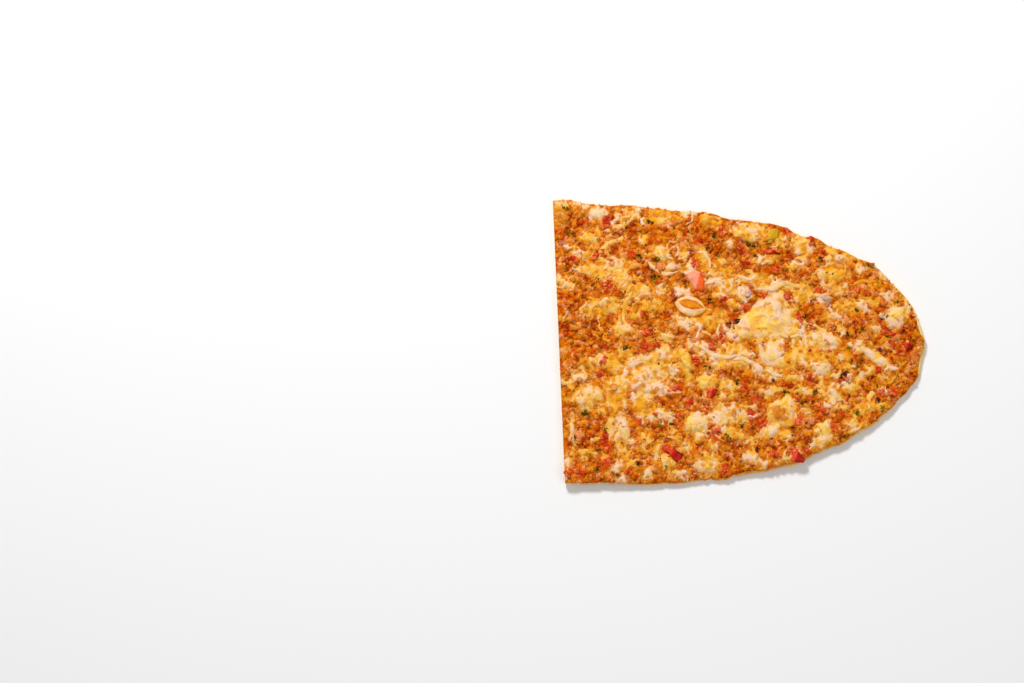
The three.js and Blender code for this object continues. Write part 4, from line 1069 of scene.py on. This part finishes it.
def cheese_lump(ground, index, material):
    """One thick lump: an uneven folded mound that sinks into the topping round its edge."""
    px, py, length, width, turn, tone, centre, cornered, corner = LUMPS[index]
    node = "cheese_%02d" % (index + 1)
    almond = index == ALMOND
    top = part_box(node)[1].z / MM
    out, bearing = np.meshgrid(
        np.linspace(0, 1.12, LUMP_RINGS)[1:], np.linspace(0, 2 * math.pi, LUMP_SIDES, endpoint=False),
        indexing="ij")
    ring_x, ring_y = np.cos(bearing), np.sin(bearing)
    if almond:
        ring_y = ring_y * np.abs(ring_y) ** POINTED
    swell = 1 + 0.26 * noise(px + 1.3 * ring_x, py + 1.3 * ring_y, 150, 1.5)
    swell = swell + 0.14 * noise(px + 4 * ring_x, py + 4 * ring_y, 151, 1.9)
    if almond:
        swell = mix(1, swell, 0.06)
    swell = swell + cornered * np.cos(3 * (bearing + math.radians(turn - corner)))
    along, across = out * ring_x, out * ring_y
    dx, dy = turned(along * length / 2 * swell, across * width / 2 * swell, -turn)
    x, y, out, along, across = (
        np.concatenate([[0], field.ravel()]) for field in (dx, dy, out, along, across))
    x, y = px + x, py + y

    base = ground.at(ground.smooth_height, x, y)
    fine = ground.at(ground.height, x, y) - base
    folds = fractal(x + noise(x, y, 152, 3), y, 90 + index, 3.5 + 0.16 * length)
    folds = smooth(0.45, 1.0, 1 - np.abs(folds))
    dome = smooth(1.08, 0.35, out)
    if almond:
        folds = 0.9 + 0.1 * noise(x, y, 162, 6)
        dome = 0.9 * np.sqrt(np.clip(1 - (out / 1.1) ** 2.5, 0, 1)) - 0.12 * smooth(0.8, 0.3, out)
    rise = max(0.9, top - float(base[0])) * mix(mix(0.62, 0.4, smooth(20, 34, length)), 1, folds)
    z = base + (rise + 0.12 * noise(x, y, 95, 2.0)) * dome + 0.8 * fine * (1 - dome)
    z = np.minimum(z - 0.5 * smooth(0.95, 1.12, out), top)

    # The tone runs paler on the ridges of the folds and more golden in their valleys and towards the edge,
    # and the golden share grows in the valleys: painted highlight and painted warm shade, with random tone
    # besides
    tone_and_shading = tone + 0.6 * (0.55 - folds) + 0.22 * noise(x, y, 96, 1.8) + 0.3 * smooth(0.7, 1.0, out)
    lemon = smooth(-0.7, 0.2, noises(x, y, (1, 73, 5), (0.4, 74, 2.2))) * smooth(-0.15, 0.15, tone_and_shading)
    golden = smooth(0.05, 0.5, noises(x, y, (1, 164, 4.5), (0.4, 165, 1.8)) + 0.5 * (0.5 - folds))
    golden = golden * mix(0.25, 1, smooth(0, 0.06, tone))
    seared = smooth(0.5, 0.95, noises(x, y, (1, 166, 2.8), (0.5, 167, 1.2))) * (not almond)
    colours = painted(
        ramp(CHEESE_TONES, tone_and_shading), (LEMON, 0.75 * lemon), (YOLK, 0.75 * golden), (SEARED, 0.85 * seared))
    fade = smooth(0.74, 0.98, out + 0.18 * noise(x, y, 99, 2.2))
    if almond:
        fade = smooth(0.95, 1.05, out)
        edge = (along / 0.86) ** 2 + np.abs(across - 0.14) / 0.5 + 0.12 * noise(x, y, 97, 2.5)
        brown = np.clip(smooth(1.0, 0.3, edge) + 0.4 * noise(x, y, 98, 2.0), 0, 1)
        colours = painted(colours, (painted(BLISTER, (BROWNED, brown)), smooth(1.08, 0.9, edge)))
    elif centre:
        edge = np.hypot(across + 0.2, along + 0.25) / centre + noises(x, y, (0.3, 97, 3.0), (0.25, 163, 1.4))
        specks = smooth(0.0, 0.6, noise(x, y, 98, 1.6))
        core = painted(BROWNED, (SEARED, 0.6 * smooth(1.0, 0.4, edge)), (SCORCHED, 0.45 * specks))
        colours = painted(colours, (YOLK, 0.5 * smooth(1.5, 1.0, edge)), (core, smooth(1.05, 0.8, edge)))
    colours = painted(colours, (ground.at(ground.colour, x, y), mix(0.12, 1, fade)))
    rings = 1 + np.arange(len(x) - 1).reshape(-1, LUMP_SIDES)
    faces = fan(0, rings[0]) + turned_over(walls(rings)) + fan(len(x), rings[-1][::-1])
    corners = np.concatenate([np.stack([x, y, z], axis=-1), [[px, py, base.min() - 1.2]]])
    piece = add_piece(
        node + "_melted", corners, faces, np.concatenate([colours, colours[:1]]), material)
    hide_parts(node)


def vegetable(ground, node, shade, outline_corners, material):
    """A thick flat piece of tomato or pepper, cut to its outline, where its solid lies."""
    slot = node[:-3]
    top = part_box(node)[1].z / MM
    edge = np.array(outline_corners)
    middle = edge.mean(axis=0)
    corners, triangles = slab(subdivisions=5)
    bearing = np.arctan2(corners[:, 1], corners[:, 0])
    ray = np.stack([np.cos(bearing), np.sin(bearing)], axis=-1)
    start, run = edge - middle, np.roll(edge, -1, axis=0) - edge
    # How far along each ray the line through each side lies, for the sides that the ray crosses
    cross = ray[:, None, 0] * run[None, :, 1] - ray[:, None, 1] * run[None, :, 0]
    cross = np.where(np.abs(cross) < 1e-9, 1e-9, cross)
    far = (start[:, 0] * run[:, 1] - start[:, 1] * run[:, 0])[None] / cross
    share = (start[None, :, 0] * ray[:, None, 1] - start[None, :, 1] * ray[:, None, 0]) / cross
    hit = np.where((far > 0) & (share >= -1e-6) & (share <= 1 + 1e-6), far, np.inf).min(axis=1)
    hit = np.where(np.isfinite(hit), hit, 1.0)
    out = np.hypot(corners[:, 0], corners[:, 1])
    x, y = (middle[k] + ray[:, k] * hit * out for k in range(2))
    rest = ground.at(ground.smooth_height, x, y)
    tall = max(0.8, top - float(rest.mean())) * (0.25 + 0.75 * np.sqrt(np.clip(1 - out ** 7, 0, 1)))
    wrinkle = fractal(x, y, 98, 3.5)
    z = np.where(corners[:, 2] > 0, rest + tall * (0.8 + 0.25 * wrinkle), rest - 0.6)
    # Each piece is painted paler on its side towards -X and deeper on the other: painted light and shade, as
    # if lit from one side
    painted_side_light = 0.32 * np.clip((x - middle[0] - 0.3 * (y - middle[1])) / 0.8, -1, 1)
    colours = ramp(
        {"green_pepper": GREEN_TONES, "tomato": TOMATO_TONES}.get(slot, RED_TONES),
        shade + 0.3 * wrinkle + painted_side_light + 0.15 * noise(x, y, 153, 1.2))
    corners = np.stack([x, y, np.minimum(z, top)], axis=-1)
    piece = add_piece(node + "_piece", corners, triangles.tolist(), colours, material)
    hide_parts(node)


def bread_piece(material):
    """The bread: a flat underside, a thin browned edge, and a torn crumb along the cut."""
    bearing = np.linspace(-math.pi, math.pi, 14401)
    far, _ = around(CENTRE[0] + np.cos(bearing), CENTRE[1] + np.sin(bearing))
    run = np.cumsum(np.hypot(np.diff(far * np.cos(bearing)), np.diff(far * np.sin(bearing))))
    bearing = np.interp(np.arange(0, run[-1], STEP), run, bearing[1:])
    far, crust = around(CENTRE[0] + np.cos(bearing), CENTRE[1] + np.sin(bearing))
    edge_x, edge_y = CENTRE[0] + far * np.cos(bearing), CENTRE[1] + far * np.sin(bearing)
    rows, shades = [], []

    def ring(inset, height, shade, rough=0.0, layer=0):
        uneven = rough * noise(edge_x + 7 * height, edge_y + 5 * height, 120 + layer, 1.1)
        x, y = pulled(edge_x, edge_y, 1 - (inset + uneven) / far)
        z = height + lift(x, y) + 0.12 * fractal(x, y, 130, 4) * (height > 0.4)
        rows.append(np.stack([x, y, np.maximum(z, 0)], axis=-1))
        shades.append(shade(x, y, height))

    def bottom(x, y, height):
        spots = smooth(0.1, 0.6, fractal(x, y, 141, 11, 4)) * smooth(0.3, 0, height)
        return ramp(UNDERSIDE_TONES, 0.25 + 0.2 * fractal(x, y, 142, 3) + 0.65 * spots)

    def rim(x, y, height):
        tip = smooth(205, 232, x) * smooth(-30, -5, y)
        toast = 0.42 - 0.4 * tip + 0.4 * fractal(x, y, 143, 9)
        toast += 0.3 * noise(x + 2 * height, y - 2 * height, 144, 2)
        pores = smooth(0.0, 0.7, noise(y - 9 * height, x + 6 * height, 145, 1.1))
        return painted(
            CRUMB_SIDE, (CRUMB_PORE, 0.6 * pores), (CRUST_TONES[2], 0.7 * smooth(0.5, 0, height)),
            (ramp(CRUST_TONES, toast), crust))

    for share in (0.2, 0.45, 0.65, 0.8, 0.9, 0.95):
        ring(far * (1 - share), 0.0, bottom)
    ring(mix(0.12, 1.2, crust), 0.02, bottom)
    for step, (inset, height) in enumerate(EDGE_PROFILE):
        ring(mix(0.12, inset, crust), height, rim, mix(0.22, 0.08, crust), step)
    for cut_inset, inset, height in EDGE_TOP:
        ring(mix(cut_inset, inset, crust), height, rim)
    for share in (0.9, 0.75, 0.5, 0.2):
        ring(far * (1 - share), DOUGH, rim)
    count = len(rows) * len(bearing)
    rings = np.arange(count).reshape(len(rows), -1)
    faces = fan(count, rings[0][::-1]) + walls(rings) + fan(count + 1, rings[-1])
    corners = np.concatenate(rows + [[[*CENTRE, 0.0], [*CENTRE, DOUGH]]])
    colours = np.concatenate(shades + [[UNDERSIDE_TONES[0], CRUST_TONES[0]]])
    piece = add_piece("baked_bread", corners, faces, colours, material)
    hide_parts("bread")


def add_light(name, place, watts, size):
    """A square lamp that faces the middle of the piece."""
    light = bpy.data.lights.new(name, "AREA")
    light.energy = watts
    light.size = size
    add_object(name, light, place, (0, 0, 0))


def studio():
    """A pale floor, soft light from behind and above, and the camera almost straight above."""
    mesh = bpy.data.meshes.new("floor")
    corners = [(x * FLOOR_REACH, y * FLOOR_REACH, 0) for x, y in ((-1, -1), (1, -1), (1, 1), (-1, 1))]
    mesh.from_pydata(corners, [], [(0, 1, 2, 3)])
    pale = bpy.data.materials.new("pale_floor")
    pale.use_nodes = True
    shader = pale.node_tree.nodes["Principled BSDF"]
    shader.inputs["Base Color"].default_value = (0.93, 0.93, 0.93, 1)
    shader.inputs["Roughness"].default_value = 0.9
    mesh.materials.append(pale)
    floor = add_object("floor", mesh)
    world = bpy.data.worlds.new("studio")
    world.use_nodes = True
    world.node_tree.nodes["Background"].inputs["Color"].default_value = (1, 1, 1, 1)
    world.node_tree.nodes["Background"].inputs["Strength"].default_value = 0.385
    bpy.context.scene.world = world
    add_light("key", (-0.45, 0.95, 1.15), watts=17.4, size=0.3)
    add_light("fill", (0.8, -0.6, 1.6), watts=6, size=1.2)
    bpy.context.scene.view_settings.view_transform = "Standard"
    view = bpy.data.cameras.new("camera")
    view.lens = CAMERA_LENS
    view.sensor_width = CAMERA_SENSOR
    back = Vector((0, -math.cos(CAMERA_ELEVATION), math.sin(CAMERA_ELEVATION)))
    aim = Vector(CAMERA_AIM)
    bpy.context.scene.camera = add_object("camera", view, aim + CAMERA_DISTANCE * back, aim)


studio()
# Each material's name, roughness, light let in, depth and size of its grain, mottling and glint
meat = food_material("meat_and_cheese", 0.6, 0.08, 0.5, 0.7, 0.42, 0.1)
crumbly = food_material("meat_crumbs", 0.55, 0.05, 0.5, 0.6, 0.4, 0.08)
melted = food_material("melted_cheese", 0.38, 0.3, 0.12, 1.2, 0.07, 0.22)
moist = food_material("moist_vegetable", 0.3, 0.12, 0.08, 0.8, 0.1, 0.3)
leafy = food_material("herbs", 0.55, 0.0, 0.08, 0.5, 0.15, 0.1)
baked = food_material("baked_bread", 0.65, 0.1, 0.2, 0.9, 0.12, 0.12)

ground = Ground()
bread_piece(baked)
topping_piece(ground, meat)
meat_crumbs(ground, crumbly)
reds = clusters(RED_BITS, room=7.0, smallest=2.2, largest=4.6, seed=67)
reds = np.concatenate([reds, small_red_rows(ground)])
flat_bits("red_bits", ground, reds, moist, thick=1.3, seed=41)
leaves = clusters(HERBS, room=2.6, smallest=1.1, largest=2.4, seed=71)
flat_bits("chopped_herbs", ground, leaves, leafy, thick=0.6, seed=43)
flat_bits("onion_bits", ground, ONION_BITS, leafy, thick=0.65, seed=47)
herb_flecks(ground, leafy)
cheese_strands(ground, melted)
for number in range(len(LUMPS)):
    cheese_lump(ground, number, melted)
for row in VEGETABLES:
    vegetable(ground, *row, moist)
